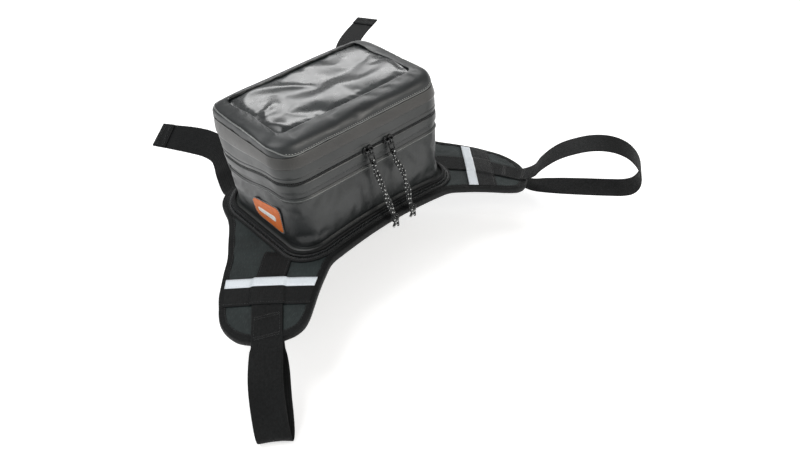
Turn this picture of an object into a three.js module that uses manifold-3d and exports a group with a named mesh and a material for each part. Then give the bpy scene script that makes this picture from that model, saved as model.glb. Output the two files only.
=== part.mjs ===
// A small motorcycle tank bag on a flexible saddle harness, in millimetres, +Z up.
// Origin: in the middle of the underside of the harness, where it rests on the crown of the tank.
// +X is the right-hand side, across the tank. -Y is the rider's side, with the pulls of the lid
// zip, and +Y is the front of the motorcycle.
// The pieces are drawn from the level of the bag's walls at the crown, CROWN_Z above the origin.
import * as THREE from "three";
import { mergeVertices } from "three/addons/utils/BufferGeometryUtils.js";
import Module from "manifold-3d";

const wasm = await Module();
wasm.setup();

// ---- driving dimensions ----
const HALF_W = 114; // half the bag's width across the tank
const NEAR_TOP = -76; // rider-side wall at the top of the bag
const NEAR_BOTTOM = -88; // rider-side wall at the base: it leans outwards going down
const LEAN_H = 125; // height over which the rider-side wall leans
const FAR = 76; // front wall
const CORNER_R = 28;
const CORNER_STEPS = 5;
const WALL = 1.6; // coated fabric wall
const ARCH = 7.6e-4; // tank arch: z = -ARCH * x * x, drawn as a chain of flats
const FLAT = 20; // width of a flat, the middle one level
const ARCH_REACH = 270; // the chain's extent on either side
const FOLDS = [-70, -50, -30, -10, 10, 30, 50, 70]; // joints of the flats along the straight sides

const FLOOR_Z = -6.4; // outer face of the bag's floor at the crown
const TUB_TOP = 78.6;
const LID_BOTTOM = 84.8;
const TOP_Z = 128.4; // height of the lid in the middle
const TOP_SLOPE = 0.023; // the lid falls slightly towards the front
const TILT_FROM = 115; // outlines above this height follow that slope
const ZIP_END_Y = 58; // the lid zip stops here on both ends of the bag
const SLIDER_Z = 81.7; // midway between the two rows of lid zip teeth
const WINDOW = { x0: -95.5, x1: 95.5, y0: -50, y1: 60, radius: 9 }; // clear opening in the lid

const SHEET_TOP = -7.6; // top of the harness panel
const GRIP_BOTTOM = SHEET_TOP - 6.6; // underside of the harness
const BINDING_BOTTOM = SHEET_TOP - 6.8;
const CROWN_Z = -GRIP_BOTTOM; // height of the drawing level above the origin
const BIND = 9; // width of the edge binding
const WEB = 38; // webbing width
const WEB_T = 1.5;
const WEB_GAP = 0.5; // between the webbing and the harness

const AXIS = [0.778, -0.628]; // direction of the right-hand wing in plan
const HINGE_S = 158; // distance of the wing's flex line from the origin along that direction
const HINGE_GAP = 2.4; // half the gap between the wing and the middle of the harness
const BAND_S = [171.5, 208.5]; // extent of the sleeve band along the wing's axis
const KNEE = [169.224, -85.024]; // bend of the right wing's webbing, under the sleeve band

// tip: where the strap loop leaves the wing; loop: the loop's direction in plan
const LEFT = { name: "left", side: -1, tip: [-211.6, -142.5], loop: [-0.575, -0.818] };
const RIGHT = { name: "right", side: 1, tip: [212, -142], loop: [0.62, -0.785] };

// ---- materials ----
const BLACK = 0x1b1c1c;
const COATED = 0x3a3d3d;
const MATERIALS = {
  shell: { color: COATED, roughness: 0.45 },
  weldStrip: { color: COATED, roughness: 0.35 },
  board: { color: 0x222222, roughness: 0.6 },
  liner: { color: 0x2a2a2a, roughness: 0.9 },
  badge: { color: 0xd9742e, roughness: 0.6 },
  teeth: { color: 0x141414, roughness: 0.4 },
  lidZipLowerTape: { color: 0x202222, roughness: 0.5 },
  lidZipUpperTape: { color: 0x303232, roughness: 0.45 },
  baseZipTape: { color: BLACK, roughness: 0.6 },
  flange: { color: 0x1d1f1f, roughness: 0.6 },
  piping: { color: BLACK, roughness: 0.5 },
  rainFlap: { color: 0x4b4d4b, roughness: 0.3 },
  pane: { color: 0x6a6e6e, roughness: 0.12, transparent: true, opacity: 0.6 },
  pocket: { color: 0x2a2c2c, roughness: 0.6 },
  slider: { color: 0x1a1a1b, roughness: 0.3, metalness: 0.8 },
  cord: { color: 0x16181a, roughness: 0.9 },
  panel: { color: 0x2f3a3a, roughness: 0.6 },
  foam: { color: 0x3b3f40, roughness: 0.95 },
  grip: { color: 0x161717, roughness: 0.9 },
  webbing: { color: BLACK, roughness: 0.85 }, // the edge binding too
  band: { color: 0x1f2121, roughness: 0.8 },
  reflective: { color: 0xe8eef5, roughness: 0.35 },
};

// ---- solids and meshes ----
const root = new THREE.Group();
root.position.z = CROWN_Z;

// Closed geometry to solid.
function solid(geometry) {
  const bare = geometry.clone();
  bare.deleteAttribute("normal");
  bare.deleteAttribute("uv");
  const merged = mergeVertices(bare, 1e-4);
  const result = new wasm.Manifold(
    new wasm.Mesh({
      numProp: 3,
      vertProperties: new Float32Array(merged.attributes.position.array),
      triVerts: new Uint32Array(merged.index.array),
    })
  );
  if (result.volume() < 0) throw new Error("inside out");
  return result;
}

// Solid to flat-shaded geometry.
function geometryOf(piece) {
  const mesh = piece.getMesh();
  const positions = new Float32Array(mesh.numVert * 3);
  for (let i = 0; i < mesh.numVert; i++) {
    const start = i * mesh.numProp;
    positions.set(mesh.vertProperties.subarray(start, start + 3), i * 3);
  }
  const indexed = new THREE.BufferGeometry();
  indexed.setAttribute("position", new THREE.BufferAttribute(positions, 3));
  indexed.setIndex(new THREE.BufferAttribute(new Uint32Array(mesh.triVerts), 1));
  const flat = indexed.toNonIndexed();
  flat.computeVertexNormals();
  return flat;
}

function add(name, piece, material, placing = new THREE.Matrix4()) {
  const geometry = geometryOf(piece).applyMatrix4(placing);
  const mesh = new THREE.Mesh(geometry, new THREE.MeshStandardMaterial(material));
  mesh.name = name;
  root.add(mesh);
}

// Placing matrix; a positive tilt swings the lower end of a piece towards the rider.
const placeAt = (x, y, z, tilt = 0) => new THREE.Matrix4().makeRotationX(-tilt).setPosition(x, y, z);

const largest = (piece) => piece.decompose().sort((a, b) => b.volume() - a.volume())[0];

function fromTriangles(positions) {
  const geometry = new THREE.BufferGeometry();
  geometry.setAttribute("position", new THREE.Float32BufferAttribute(positions, 3));
  return solid(geometry);
}

const quad = (a, b, c, d) => [...a, ...b, ...c, ...a, ...c, ...d];

// Triangles joining each closed loop of points to the next.
function skin(loops) {
  const positions = [];
  for (let j = 0; j + 1 < loops.length; j++) {
    const here = loops[j];
    const next = loops[j + 1];
    for (let i = 0; i < here.length; i++) {
      const k = (i + 1) % here.length;
      positions.push(...quad(here[i], here[k], next[k], next[i]));
    }
  }
  return positions;
}

const vectors = (points) => points.map(([x, y]) => new THREE.Vector2(x, y));

function extrude(points, depth, hole) {
  const shape = new THREE.Shape(vectors(points));
  if (hole) shape.holes.push(new THREE.Path(vectors(hole)));
  return new THREE.ExtrudeGeometry(shape, { depth, bevelEnabled: false });
}

const prism = (points, z0, z1) => solid(extrude(points, z1 - z0).translate(0, 0, z0));
const upright = (points) => prism(points, -200, 100); // passes right through the harness

function box(x0, x1, y0, y1, z0, z1) {
  const geometry = new THREE.BoxGeometry(x1 - x0, y1 - y0, z1 - z0);
  return solid(geometry.translate((x0 + x1) / 2, (y0 + y1) / 2, (z0 + z1) / 2));
}

// ---- tank arch ----
function arch(x) {
  const start = FLAT * Math.floor(x / FLAT + 0.5) - FLAT / 2;
  const end = start + FLAT;
  return -ARCH * THREE.MathUtils.lerp(start * start, end * end, (x - start) / FLAT);
}

function archLine(z) {
  const points = [];
  for (let x = -ARCH_REACH; x <= ARCH_REACH; x += FLAT) points.push([x, z + arch(x)]);
  return points;
}

// Outline in x and z carried through the whole model along y.
const alongY = (points) => solid(extrude(points, 800).rotateX(Math.PI / 2).translate(0, 400, 0));

// Slab between two heights over the arch.
const slab = (z0, z1) => alongY([...archLine(z0), ...archLine(z1).reverse()]);

// Everything above a height over the arch.
const above = (z) => alongY([...archLine(z), [ARCH_REACH, 400], [-ARCH_REACH, 400]]);

// ---- bag outlines ----
// Counter-clockwise, from the end of the right-hand side.
function roundedRect(x0, x1, y0, y1, radius) {
  const centres = [
    [x1 - radius, y1 - radius],
    [x0 + radius, y1 - radius],
    [x0 + radius, y0 + radius],
    [x1 - radius, y0 + radius],
  ];
  return centres.flatMap(([x, y], quarter) =>
    Array.from({ length: CORNER_STEPS + 1 }, (_, i) => {
      const angle = ((quarter + i / CORNER_STEPS) * Math.PI) / 2;
      return [x + radius * Math.cos(angle), y + radius * Math.sin(angle)];
    })
  );
}

function nearWall(z) {
  return THREE.MathUtils.lerp(NEAR_BOTTOM, NEAR_TOP, THREE.MathUtils.clamp(z / LEAN_H, 0, 1));
}

// The bag's plan outline at height z, moved outwards by offset.
function outline(z, offset) {
  const halfWidth = HALF_W + offset;
  return roundedRect(-halfWidth, halfWidth, nearWall(z) - offset, FAR + offset, CORNER_R + offset);
}

// The base outline with its long sides split at the arch's fold lines.
function foldedOutline(offset) {
  const points = outline(0, offset);
  const corner = CORNER_STEPS + 1;
  points.splice(3 * corner, 0, ...FOLDS.map((x) => [x, nearWall(0) - offset]));
  points.splice(corner, 0, ...[...FOLDS].reverse().map((x) => [x, FAR + offset]));
  return points;
}

// Closed bands round the bag. Profile points are [offset out of the wall, z], counter-clockwise
// with the offset pointing out.
const closedBand = (loops) => fromTriangles(skin([...loops, loops[0]]));
const ring = (profile) =>
  closedBand(profile.map(([offset, z]) => outline(z, offset).map(([x, y]) => [x, y, z])));
const archRing = (profile) =>
  closedBand(profile.map(([offset, z]) => foldedOutline(offset).map(([x, y]) => [x, y, z + arch(x)])));

// The part of a ring along the rider's side and both ends.
const zipRing = (profile) => ring(profile).intersect(box(-200, 200, -200, ZIP_END_Y, -50, 200));

// Solid stacked from outlines [z, offset], closed by flat caps.
function stack(levels) {
  const loops = levels.map(([z, offset]) =>
    outline(z, offset).map(([x, y]) => [x, y, z > TILT_FROM ? z - TOP_SLOPE * y : z])
  );
  const positions = skin(loops);
  const bottom = loops[0];
  const top = loops[loops.length - 1];
  for (const [a, b, c] of THREE.ShapeUtils.triangulateShape(vectors(bottom), []))
    positions.push(...bottom[a], ...bottom[c], ...bottom[b]);
  for (const [a, b, c] of THREE.ShapeUtils.triangulateShape(vectors(top), []))
    positions.push(...top[a], ...top[b], ...top[c]);
  return fromTriangles(positions);
}

// Block in the shape of the tub, starting well below its floor.
const tubBlock = (offset, top) => stack([[-30, offset], [0, offset], [top, offset]]);

// ---- bag body ----
function addBody() {
  const floorTop = FLOOR_Z + WALL;
  const outer = tubBlock(0, TUB_TOP).intersect(above(FLOOR_Z));
  const inner = tubBlock(-WALL, TUB_TOP + 5).intersect(above(floorTop));
  add("bag_shell", outer.subtract(inner), MATERIALS.shell);

  const board = tubBlock(-2.2, 40).intersect(slab(floorTop + 0.3, floorTop + 2.3));
  add("base_board", board, MATERIALS.board);

  const stiffener = tubBlock(-2, 72).intersect(above(floorTop + 2.6)).subtract(tubBlock(-4, 80));
  add("wall_stiffener", stiffener, MATERIALS.liner);

  const weld = ring([[0.3, 55.5], [1.1, 56], [1.5, 58], [1.1, 60], [0.3, 60.5]]);
  add("lower_weld_strip", weld, MATERIALS.weldStrip);

  const tape = zipRing([[0.3, 68.5], [2.0, 69], [2.0, 79.4], [0.3, 79.4]]);
  add("lid_zip_lower_tape", tape, MATERIALS.lidZipLowerTape);

  const teeth = zipRing([[-0.9, 80], [1.0, 80], [1.0, 80.8], [-0.9, 80.8]]);
  add("lid_zip_lower_teeth", teeth, MATERIALS.teeth);

  // the hinge covers the front wall between the zip's ends
  const hinge = ring([[0.3, 64], [1.1, 64], [1.1, 80.6], [0.3, 80.6]]);
  add("lid_hinge_strip", hinge.intersect(box(-84, 84, 60, 100, 0, 100)), MATERIALS.shell);
}

// Plain badge on the left end.
function addBadge() {
  const thickness = 1.2;
  const gap = 0.3;
  const face = roundedRect(-55, 7, 0, 40, 8); // y and z extents, corner radius
  const geometry = extrude(face, thickness)
    .rotateX(Math.PI / 2)
    .rotateZ(Math.PI / 2)
    .translate(-HALF_W - gap - thickness, 0, 0);
  add("end_badge", solid(geometry), MATERIALS.badge);
}

// ---- base zip: profiles over the arch, [offset, z] ----
const BASE_RINGS = [
  // the bag's half
  ["base_flange", MATERIALS.flange,
    [[0.3, -4.6], [2.6, -4.6], [9.4, -5.2], [9.4, -4.2], [3.2, 2.6], [0.3, 2.6]]],
  ["base_piping", MATERIALS.piping,
    [[5.2, 0.9], [7.6, -1.6], [9.6, -0.4], [9.4, 1.6], [7.4, 2.9], [5.6, 2.6]]],
  ["base_zip_upper_coil", MATERIALS.teeth,
    [[9.8, -4.8], [11.6, -4.8], [11.9, -3.2], [10.9, -2.2], [9.8, -2.6]]],
  // the harness's half
  ["base_zip_lower_coil", MATERIALS.teeth,
    [[12.3, -6.2], [14.2, -6.2], [14.5, -5.2], [13.5, -4.0], [12.4, -4.2]]],
  ["base_zip_lower_tape", MATERIALS.baseZipTape,
    [[6, -7.3], [16.4, -7.3], [16.4, -5.2], [14.9, -5.2], [14.9, -6.5], [6, -6.5]]],
];

function addBaseZip() {
  for (const [name, material, profile] of BASE_RINGS) add(name, archRing(profile), material);
}

// ---- lid: levels are [z, offset] ----
const LID_OUTER = [
  [LID_BOTTOM, 0], [112, 0], [118, -0.8], [122.5, -3], [126, -7.5], [127.8, -13], [TOP_Z, -20],
];
const LID_INNER = [
  [LID_BOTTOM - 4, -WALL], [112, -WALL], [117, -2.4], [121, -4.6],
  [126 - WALL, -7.5 - WALL], [127.8 - WALL, -13 - WALL], [TOP_Z - WALL, -20 - WALL],
];

// Prism over the window, grown by a margin all round.
function windowPrism(grow, z0, z1) {
  const { x0, x1, y0, y1, radius } = WINDOW;
  return prism(roundedRect(x0 - grow, x1 + grow, y0 - grow, y1 + grow, radius + grow), z0, z1);
}

function addLid() {
  const shell = stack(LID_OUTER).subtract(stack(LID_INNER)).subtract(windowPrism(0, 100, 150));
  add("lid_shell", shell, MATERIALS.shell);

  const slope = new THREE.Matrix4().makeShear(0, 0, 0, -TOP_SLOPE, 0, 0); // z falls with y
  const pane = windowPrism(-0.4, TOP_Z - 1.4, TOP_Z - 0.4);
  add("window_pane", pane, MATERIALS.pane, slope);
  const pocketBack = windowPrism(1.5, TOP_Z - 7, TOP_Z - 6);
  add("window_pocket_back", pocketBack, MATERIALS.pocket, slope);

  add("lid_skirt_liner", ring([[-4, 87], [-2, 87], [-2, 112], [-4, 112]]), MATERIALS.liner);

  const flap = zipRing([[0.3, 103], [1.6, 102.6], [1.9, 103.4], [1.4, 114], [0.3, 114.6]]);
  add("zip_rain_flap", flap, MATERIALS.rainFlap);

  const tape = zipRing([[0.3, 84.4], [1.6, 84.4], [1.6, 101.8], [0.3, 102.2]]);
  add("lid_zip_upper_tape", tape, MATERIALS.lidZipUpperTape);

  const teeth = zipRing([[-0.9, 82.6], [1.0, 82.6], [1.0, 83.6], [-0.9, 83.6]]);
  add("lid_zip_upper_teeth", teeth, MATERIALS.teeth);
}

// ---- zip sliders, pulls and cords ----
// Outlines in x and z for the plate and link, in x and y for the tab.
const SLIDER_PLATE = [
  [-7, -3.6], [-5, -4.8], [5, -4.8], [7, -3.6], [7, 3.6], [5, 4.8], [-5, 4.8], [-7, 3.6],
];
const LINK = [[-4.2, -2.4], [-4.2, -15.5], [-2.8, -17], [2.8, -17], [4.2, -15.5], [4.2, -2.4]];
const LINK_SLOT = [[-2.8, -6.6], [2.8, -6.6], [2.8, -14.5], [-2.8, -14.5]];
const LINK_BAR_Z = -15.7; // the link's lower bar, below the slot
const TAB = [[-3.5, 2.4], [3.5, 2.4], [4.2, 16], [2.6, 19], [-2.6, 19], [-4.2, 16]];
const TAB_SLOT = [[-1.6, 12], [-1.6, 16], [1.6, 16], [1.6, 12]];
const PULL_T = 1.4; // thickness of link and tab
const PULL_TILT = 0.3; // the lid zip's pulls lean outwards
const SLIDER_BAR_Y = -7; // the slider's bar, out of the wall
const BASE_BAR = { y: 12.7, z: 4.2 }; // the base slider's bar, from the front wall
const CORD_R = 1.9;
const CORD_SIDES = 6;
const BIGHT_R = 4; // bend of the cord round the link's lower bar

// drift: sideways shift of the cord from the slider at two points on its way down, at the knot
// and at the tails; tail: sideways spread of the second tail
const LID_SLIDERS = [
  { name: "left", x: -5, drift: [1.5, 4, 5, 3.5], tail: 1 },
  { name: "right", x: 26, drift: [4.5, 5, 2, -2], tail: 3.2 },
];

function crossBar(radius, length, y, z) {
  const geometry = new THREE.CylinderGeometry(radius, radius, length, 10);
  return solid(geometry.rotateZ(Math.PI / 2).translate(0, y, z));
}

// Eye of a pull, round the slider's bar.
const pullEye = () => solid(new THREE.TorusGeometry(2.3, 0.75, 6, 12).rotateY(Math.PI / 2));

// Local frame: x along the zip, -y out of the wall, z up; origin on the wall at the zip line.
function lidSlider() {
  const plate = solid(extrude(SLIDER_PLATE, 1.5).rotateX(Math.PI / 2).translate(0, -2.3, 0));
  return plate
    .add(box(-6, 6, 1.3, 2.3, -2.4, 2.4)) // plate inside the zip
    .add(box(-1.5, 1.5, -2.6, 2.6, -0.55, 0.55)) // post between the plates
    .add(box(-6.1, -4.3, -7.9, -3.3, -1.3, 1.3)) // legs of the bridge
    .add(box(4.3, 6.1, -7.9, -3.3, -1.3, 1.3))
    .add(crossBar(1.1, 10.4, SLIDER_BAR_Y, 0));
}

// Flat link with a slot for the cord, hanging from an eye.
function lidPull() {
  const link = extrude(LINK, PULL_T, LINK_SLOT).rotateX(Math.PI / 2).translate(0, PULL_T / 2, 0);
  return pullEye().add(solid(link));
}

function tube(points, steps) {
  const section = Array.from({ length: CORD_SIDES }, (_, i) => {
    const angle = (2 * Math.PI * i) / CORD_SIDES;
    return new THREE.Vector2(CORD_R * Math.cos(angle), CORD_R * Math.sin(angle));
  });
  const extrudePath = new THREE.CatmullRomCurve3(points.map((p) => new THREE.Vector3(...p)));
  const options = { steps, extrudePath, bevelEnabled: false };
  return solid(new THREE.ExtrudeGeometry(new THREE.Shape(section), options));
}

// Two strands from a bight round the link's lower bar to a knot with two short tails.
function pullCord(bar, drift, tailSpread) {
  const [upperX, lowerX, knotX, tailX] = drift.map((shift) => bar.x + shift);
  const bight = (s) =>
    [-12, 0, 45, 90].map((degrees) => {
      const angle = THREE.MathUtils.degToRad(degrees);
      return [bar.x, bar.y + BIGHT_R * Math.sin(s * angle), bar.z + BIGHT_R * Math.cos(angle)];
    });
  const strand = (s) =>
    tube([
      ...bight(s),
      [bar.x + s * 1.7, bar.y - 1.6 + s * 1.4, bar.z - 9],
      [upperX + s * 2, -99.5, 45],
      [lowerX + s * 2, -108, 18],
      [knotX + s, -114, 4],
      [knotX + s * 0.6, -118.3, -4],
    ], 18);
  const tail = (s) =>
    tube([
      [knotX + s, -118.8, -4],
      [tailX + s * 2.2, -119.6, -9],
      [tailX + s * 3.4, -119.8, -16],
    ], 4);
  const knot = new THREE.SphereGeometry(4.6, 10, 8)
    .scale(1.05, 0.85, 1.25)
    .translate(knotX, -118.6, -3.5);
  return strand(-1).add(strand(1)).add(solid(knot)).add(tail(-1)).add(tail(tailSpread));
}

function addLidSliders() {
  const wallTilt = Math.atan((NEAR_TOP - NEAR_BOTTOM) / LEAN_H);
  for (const { name, x, drift, tail } of LID_SLIDERS) {
    const mount = placeAt(x, nearWall(SLIDER_Z), SLIDER_Z, wallTilt);
    add(name + "_zip_slider", lidSlider(), MATERIALS.slider, mount);

    const pivot = new THREE.Vector3(0, SLIDER_BAR_Y, 0).applyMatrix4(mount);
    const hang = placeAt(pivot.x, pivot.y, pivot.z, PULL_TILT);
    add(name + "_zip_pull", lidPull(), MATERIALS.slider, hang);

    const bar = new THREE.Vector3(0, 0, LINK_BAR_Z).applyMatrix4(hang);
    add(name + "_pull_cord", pullCord(bar, drift, tail), MATERIALS.cord);
  }
}

// Slider on the front side, riding on the bag's half of the base zip; drawn from the front wall.
function addBaseSlider() {
  const body = box(-7, 7, 10.2, 16.2, -1.2, 0.2) // plate
    .add(box(-1.5, 1.5, 11.95, 12.25, -3.2, -1.0)) // post
    .add(box(-5.5, -3.9, 11.6, 13.8, 0.1, 4.6)) // legs of the bridge
    .add(box(3.9, 5.5, 11.6, 13.8, 0.1, 4.6))
    .add(crossBar(1, 10.6, BASE_BAR.y, BASE_BAR.z));
  add("base_zip_slider", body, MATERIALS.slider, placeAt(0, FAR, 0));

  const tab = solid(extrude(TAB, PULL_T, TAB_SLOT).translate(0, 0, -PULL_T / 2));
  const mount = placeAt(0, FAR + BASE_BAR.y, BASE_BAR.z);
  add("base_zip_pull", pullEye().add(tab), MATERIALS.slider, mount);
}

// ---- harness outlines ----
// Left half of the harness, [x, y]: from the front edge round the wing to the rider-side edge.
const LEFT_HALF = [
  [-104.0, 95.0], [-117.0, 91.0], [-127.0, 82.0], [-133.0, 68.0], [-137.4, 53.2],
  [-145.1, 37.7], [-160.2, 16.3], [-176.0, -5.4], [-190.5, -19.3], [-203.5, -32.5],
  [-214.2, -43.9], [-222.2, -55.9], [-228.5, -65.5], [-233.2, -75.7], [-235.1, -85.6],
  [-235.3, -95.0], [-232.5, -111.3], [-223.7, -128.6], [-215.5, -139.5], [-204.9, -148.7],
  [-194.2, -156.3], [-183.5, -161.1], [-173.0, -161.7], [-161.8, -157.1], [-148.3, -147.8],
  [-132.1, -136.0], [-114.2, -124.4], [-95.5, -114.2], [-77.6, -112.6], [-60.0, -112.0],
];

// Moves a closed counter-clockwise outline inwards.
function inset(points, distance) {
  const leftNormal = (from, to) =>
    new THREE.Vector2(from[1] - to[1], to[0] - from[0]).normalize();
  return points.map((point, i) => {
    const normalIn = leftNormal(points[(i + points.length - 1) % points.length], point);
    const normalOut = leftNormal(point, points[(i + 1) % points.length]);
    const mitre = normalIn.clone().add(normalOut).normalize();
    const reach = distance / Math.max(mitre.dot(normalIn), 0.5);
    return [point[0] + mitre.x * reach, point[1] + mitre.y * reach];
  });
}

const SHEET_OUTLINE = [...LEFT_HALF, ...[...LEFT_HALF].reverse().map(([x, y]) => [-x, y])];
const BINDING_INNER = inset(SHEET_OUTLINE, BIND);
const PAD_OUTLINE = inset(BINDING_INNER, 0.3);

// Rectangle in plan from start to end along a direction through the origin point.
function strip(origin, direction, start, end, halfWidth) {
  const [dx, dy] = direction;
  return [[start, -halfWidth], [end, -halfWidth], [end, halfWidth], [start, halfWidth]].map(
    ([along, across]) => [
      origin[0] + dx * along - dy * across,
      origin[1] + dy * along + dx * across,
    ]
  );
}

const wingAxis = (side) => [side * AXIS[0], AXIS[1]];

// Everything between two distances along a wing's axis.
const alongWing = (side, start, end) => upright(strip([0, 0], wingAxis(side), start, end, 500));

function middlePart(piece) {
  const edge = HINGE_S - HINGE_GAP;
  return piece.intersect(alongWing(1, edge - 900, edge)).intersect(alongWing(-1, edge - 900, edge));
}

function wingPart(piece, side) {
  const edge = HINGE_S + HINGE_GAP;
  return largest(piece.intersect(alongWing(side, edge, edge + 400)));
}

// ---- harness layers ----
const padLayer = (z0, z1) => upright(PAD_OUTLINE).intersect(slab(z0, z1));
const LAYERS = [
  {
    middle: "harness_top_panel",
    wing: "_wing_panel",
    piece: padLayer(SHEET_TOP - 1, SHEET_TOP),
    material: MATERIALS.panel,
  },
  {
    middle: "harness_foam_pad",
    wing: "_wing_foam",
    piece: padLayer(SHEET_TOP - 5, SHEET_TOP - 1.3),
    material: MATERIALS.foam,
  },
  {
    middle: "harness_grip_panel",
    wing: "_wing_grip",
    piece: padLayer(GRIP_BOTTOM, SHEET_TOP - 5.3),
    material: MATERIALS.grip,
  },
];
const BINDING = upright(SHEET_OUTLINE)
  .intersect(slab(BINDING_BOTTOM, SHEET_TOP + 0.2))
  .subtract(upright(BINDING_INNER));

function addMiddle() {
  for (const { middle, piece, material } of LAYERS) add(middle, middlePart(piece), material);
  // ordered from the rider's side to the front
  const edges = middlePart(BINDING)
    .decompose()
    .sort((a, b) => a.boundingBox().min[1] - b.boundingBox().min[1]);
  add("harness_near_binding", edges[0], MATERIALS.webbing);
  add("harness_front_binding", edges[edges.length - 1], MATERIALS.webbing);
}

// Slab as thick as the webbing, just below a height over the arch.
const webbingBelow = (z) => slab(z - WEB_GAP - WEB_T, z - WEB_GAP);

function addWing({ name, side, loop, tip }) {
  for (const { wing, piece, material } of LAYERS) add(name + wing, wingPart(piece, side), material);
  add(name + "_wing_binding", wingPart(BINDING, side), MATERIALS.webbing);

  // webbing on top: along the wing's axis to the knee under the sleeve band, then to the tip
  const axis = wingAxis(side);
  const knee = [side * KNEE[0], KNEE[1]];
  const tipDistance = Math.hypot(tip[0] - knee[0], tip[1] - knee[1]);
  const toTip = [(tip[0] - knee[0]) / tipDistance, (tip[1] - knee[1]) / tipDistance];
  const webBottom = SHEET_TOP + WEB_GAP;
  const webTop = webBottom + WEB_T;
  const webbing = upright(strip(knee, axis, -19, 0, WEB / 2))
    .add(upright(strip(knee, toTip, -4, tipDistance - 3, WEB / 2)))
    .intersect(slab(webBottom, webTop));
  add(name + "_wing_webbing", wingPart(webbing, side), MATERIALS.webbing);

  // webbing coming back under the tip
  const under = upright(strip(tip, loop, -46, -3, WEB / 2)).intersect(webbingBelow(GRIP_BOTTOM));
  add(name + "_return_webbing", under, MATERIALS.webbing);

  // sleeve band across the wing, with a channel for the webbing
  const channelHalf = WEB / 2 + 0.4;
  const channel = upright(strip(knee, axis, -30, 0.4, channelHalf))
    .add(upright(strip(knee, toTip, -5, tipDistance + 20, channelHalf)))
    .intersect(slab(SHEET_TOP - 3, webTop + 0.3));
  const band = upright(inset(SHEET_OUTLINE, 3))
    .intersect(alongWing(side, ...BAND_S))
    .intersect(slab(SHEET_TOP + 0.5, SHEET_TOP + 3.6))
    .subtract(channel);
  add(name + "_sleeve_band", largest(band), MATERIALS.band);

  const reflective = upright(inset(SHEET_OUTLINE, 6))
    .intersect(alongWing(side, BAND_S[0] + 0.6, BAND_S[0] + 13))
    .intersect(slab(SHEET_TOP + 3.9, SHEET_TOP + 4.4));
  add(name + "_reflective_strip", reflective, MATERIALS.reflective);
}

// ---- loose webbing ----
// Webbing through a list of centre points, with the direction of its width at each.
function ribbon(centres, widths) {
  const sections = centres.map((centre, i) => {
    const previous = centres[Math.max(i - 1, 0)];
    const next = centres[Math.min(i + 1, centres.length - 1)];
    const along = next.clone().sub(previous).normalize();
    const across = widths[i].clone().normalize();
    across.addScaledVector(along, -along.dot(across)).normalize();
    const normal = new THREE.Vector3().crossVectors(along, across).normalize();
    return [[-1, -1], [1, -1], [1, 1], [-1, 1]].map(([a, b]) =>
      centre
        .clone()
        .addScaledVector(across, (a * WEB) / 2)
        .addScaledVector(normal, (b * WEB_T) / 2)
        .toArray()
    );
  });
  const startCap = quad(...[...sections[0]].reverse());
  const endCap = quad(...sections[sections.length - 1]);
  return fromTriangles([...skin(sections), ...startCap, ...endCap]);
}

// Strap loops, [distance out from the wing tip, z]: one strip of webbing leaving over the tip
// and coming back under it.
const RIGHT_LOOP = [
  [3, -30], [14, -17], [26, -7], [42, 3.5], [60, 12], [78, 17.5], [95, 19], [111, 16.5],
  [126, 9.5], [137, -1], [144, -13], [147, -25], [145.5, -37], [139, -45.5], [128, -49.5],
  [108, -51], [80, -52], [50, -53], [26, -53.8], [4, -54.4],
];
const LEFT_LOOP = [
  [5, -41.2], [14, -43], [26, -45.5], [38, -48.5], [50, -53], [60, -60], [69, -68.5],
  [78, -79], [86, -90], [90, -98], [88, -102.5], [82.5, -101.5], [75, -94], [66, -84],
  [56, -74], [44, -66.5], [30, -61], [16, -57], [5, -54.8],
];

function addStrapLoop({ name, tip, loop }, profile) {
  const [dx, dy] = loop;
  const length = Math.hypot(dx, dy);
  const curve = new THREE.CatmullRomCurve3(
    profile.map(([out, z]) => {
      const scale = out / length;
      return new THREE.Vector3(tip[0] + dx * scale, tip[1] + dy * scale, z);
    })
  );
  const centres = curve.getSpacedPoints(38);
  const width = new THREE.Vector3(-dy, dx, 0);
  add(name + "_strap_loop", ribbon(centres, centres.map(() => width)), MATERIALS.webbing);
}

// Front straps, from under the harness's front corners: centre x, y, z, width direction x, y, z.
const RIGHT_FRONT = [
  [96, 101, -22.6, 1, 0, -0.1],
  [97.5, 112, -23, 1, -0.1, -0.05],
  [108, 130, -23, 0.95, -0.3, 0],
  [132, 156, -18, 0.85, -0.53, 0],
  [168, 198, -12, 0.78, -0.62, 0],
  [206, 246, -10, 0.75, -0.66, 0],
  [250, 292, -10, 0.6, -0.8, 0],
  [290, 320, -10, 0.5, -0.87, 0],
  [334, 343, -10, 0.47, -0.88, 0],
];
const LEFT_FRONT = [
  [-94, 101, -22.4, 1, 0, 0.1],
  [-90, 116, -16, 0.95, 0.1, 0.3],
  [-84, 134, -4, 0.8, 0.2, 0.55],
  [-80, 156, 3, 0.66, 0.25, 0.7],
  [-82, 182, 3, 0.62, 0.27, 0.74],
  [-90, 214, -1, 0.66, 0.3, 0.68],
  [-102, 250, -6, 0.76, 0.36, 0.5],
  [-113, 276, -9, 0.8, 0.4, 0.42],
];

function addFrontStrap({ name }, stations) {
  const sample = (column) => {
    const points = stations.map((row) => new THREE.Vector3(...row.slice(column, column + 3)));
    return new THREE.CatmullRomCurve3(points).getPoints(20);
  };
  add(name + "_front_strap", ribbon(sample(0), sample(3)), MATERIALS.webbing);

  // flat length under the harness, in line with the strap's start
  const anchor = upright(strip([stations[0][0], 0], [0, 1], 45, 96, WEB / 2));
  add(name + "_front_anchor", anchor.intersect(webbingBelow(BINDING_BOTTOM)), MATERIALS.webbing);
}

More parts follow.
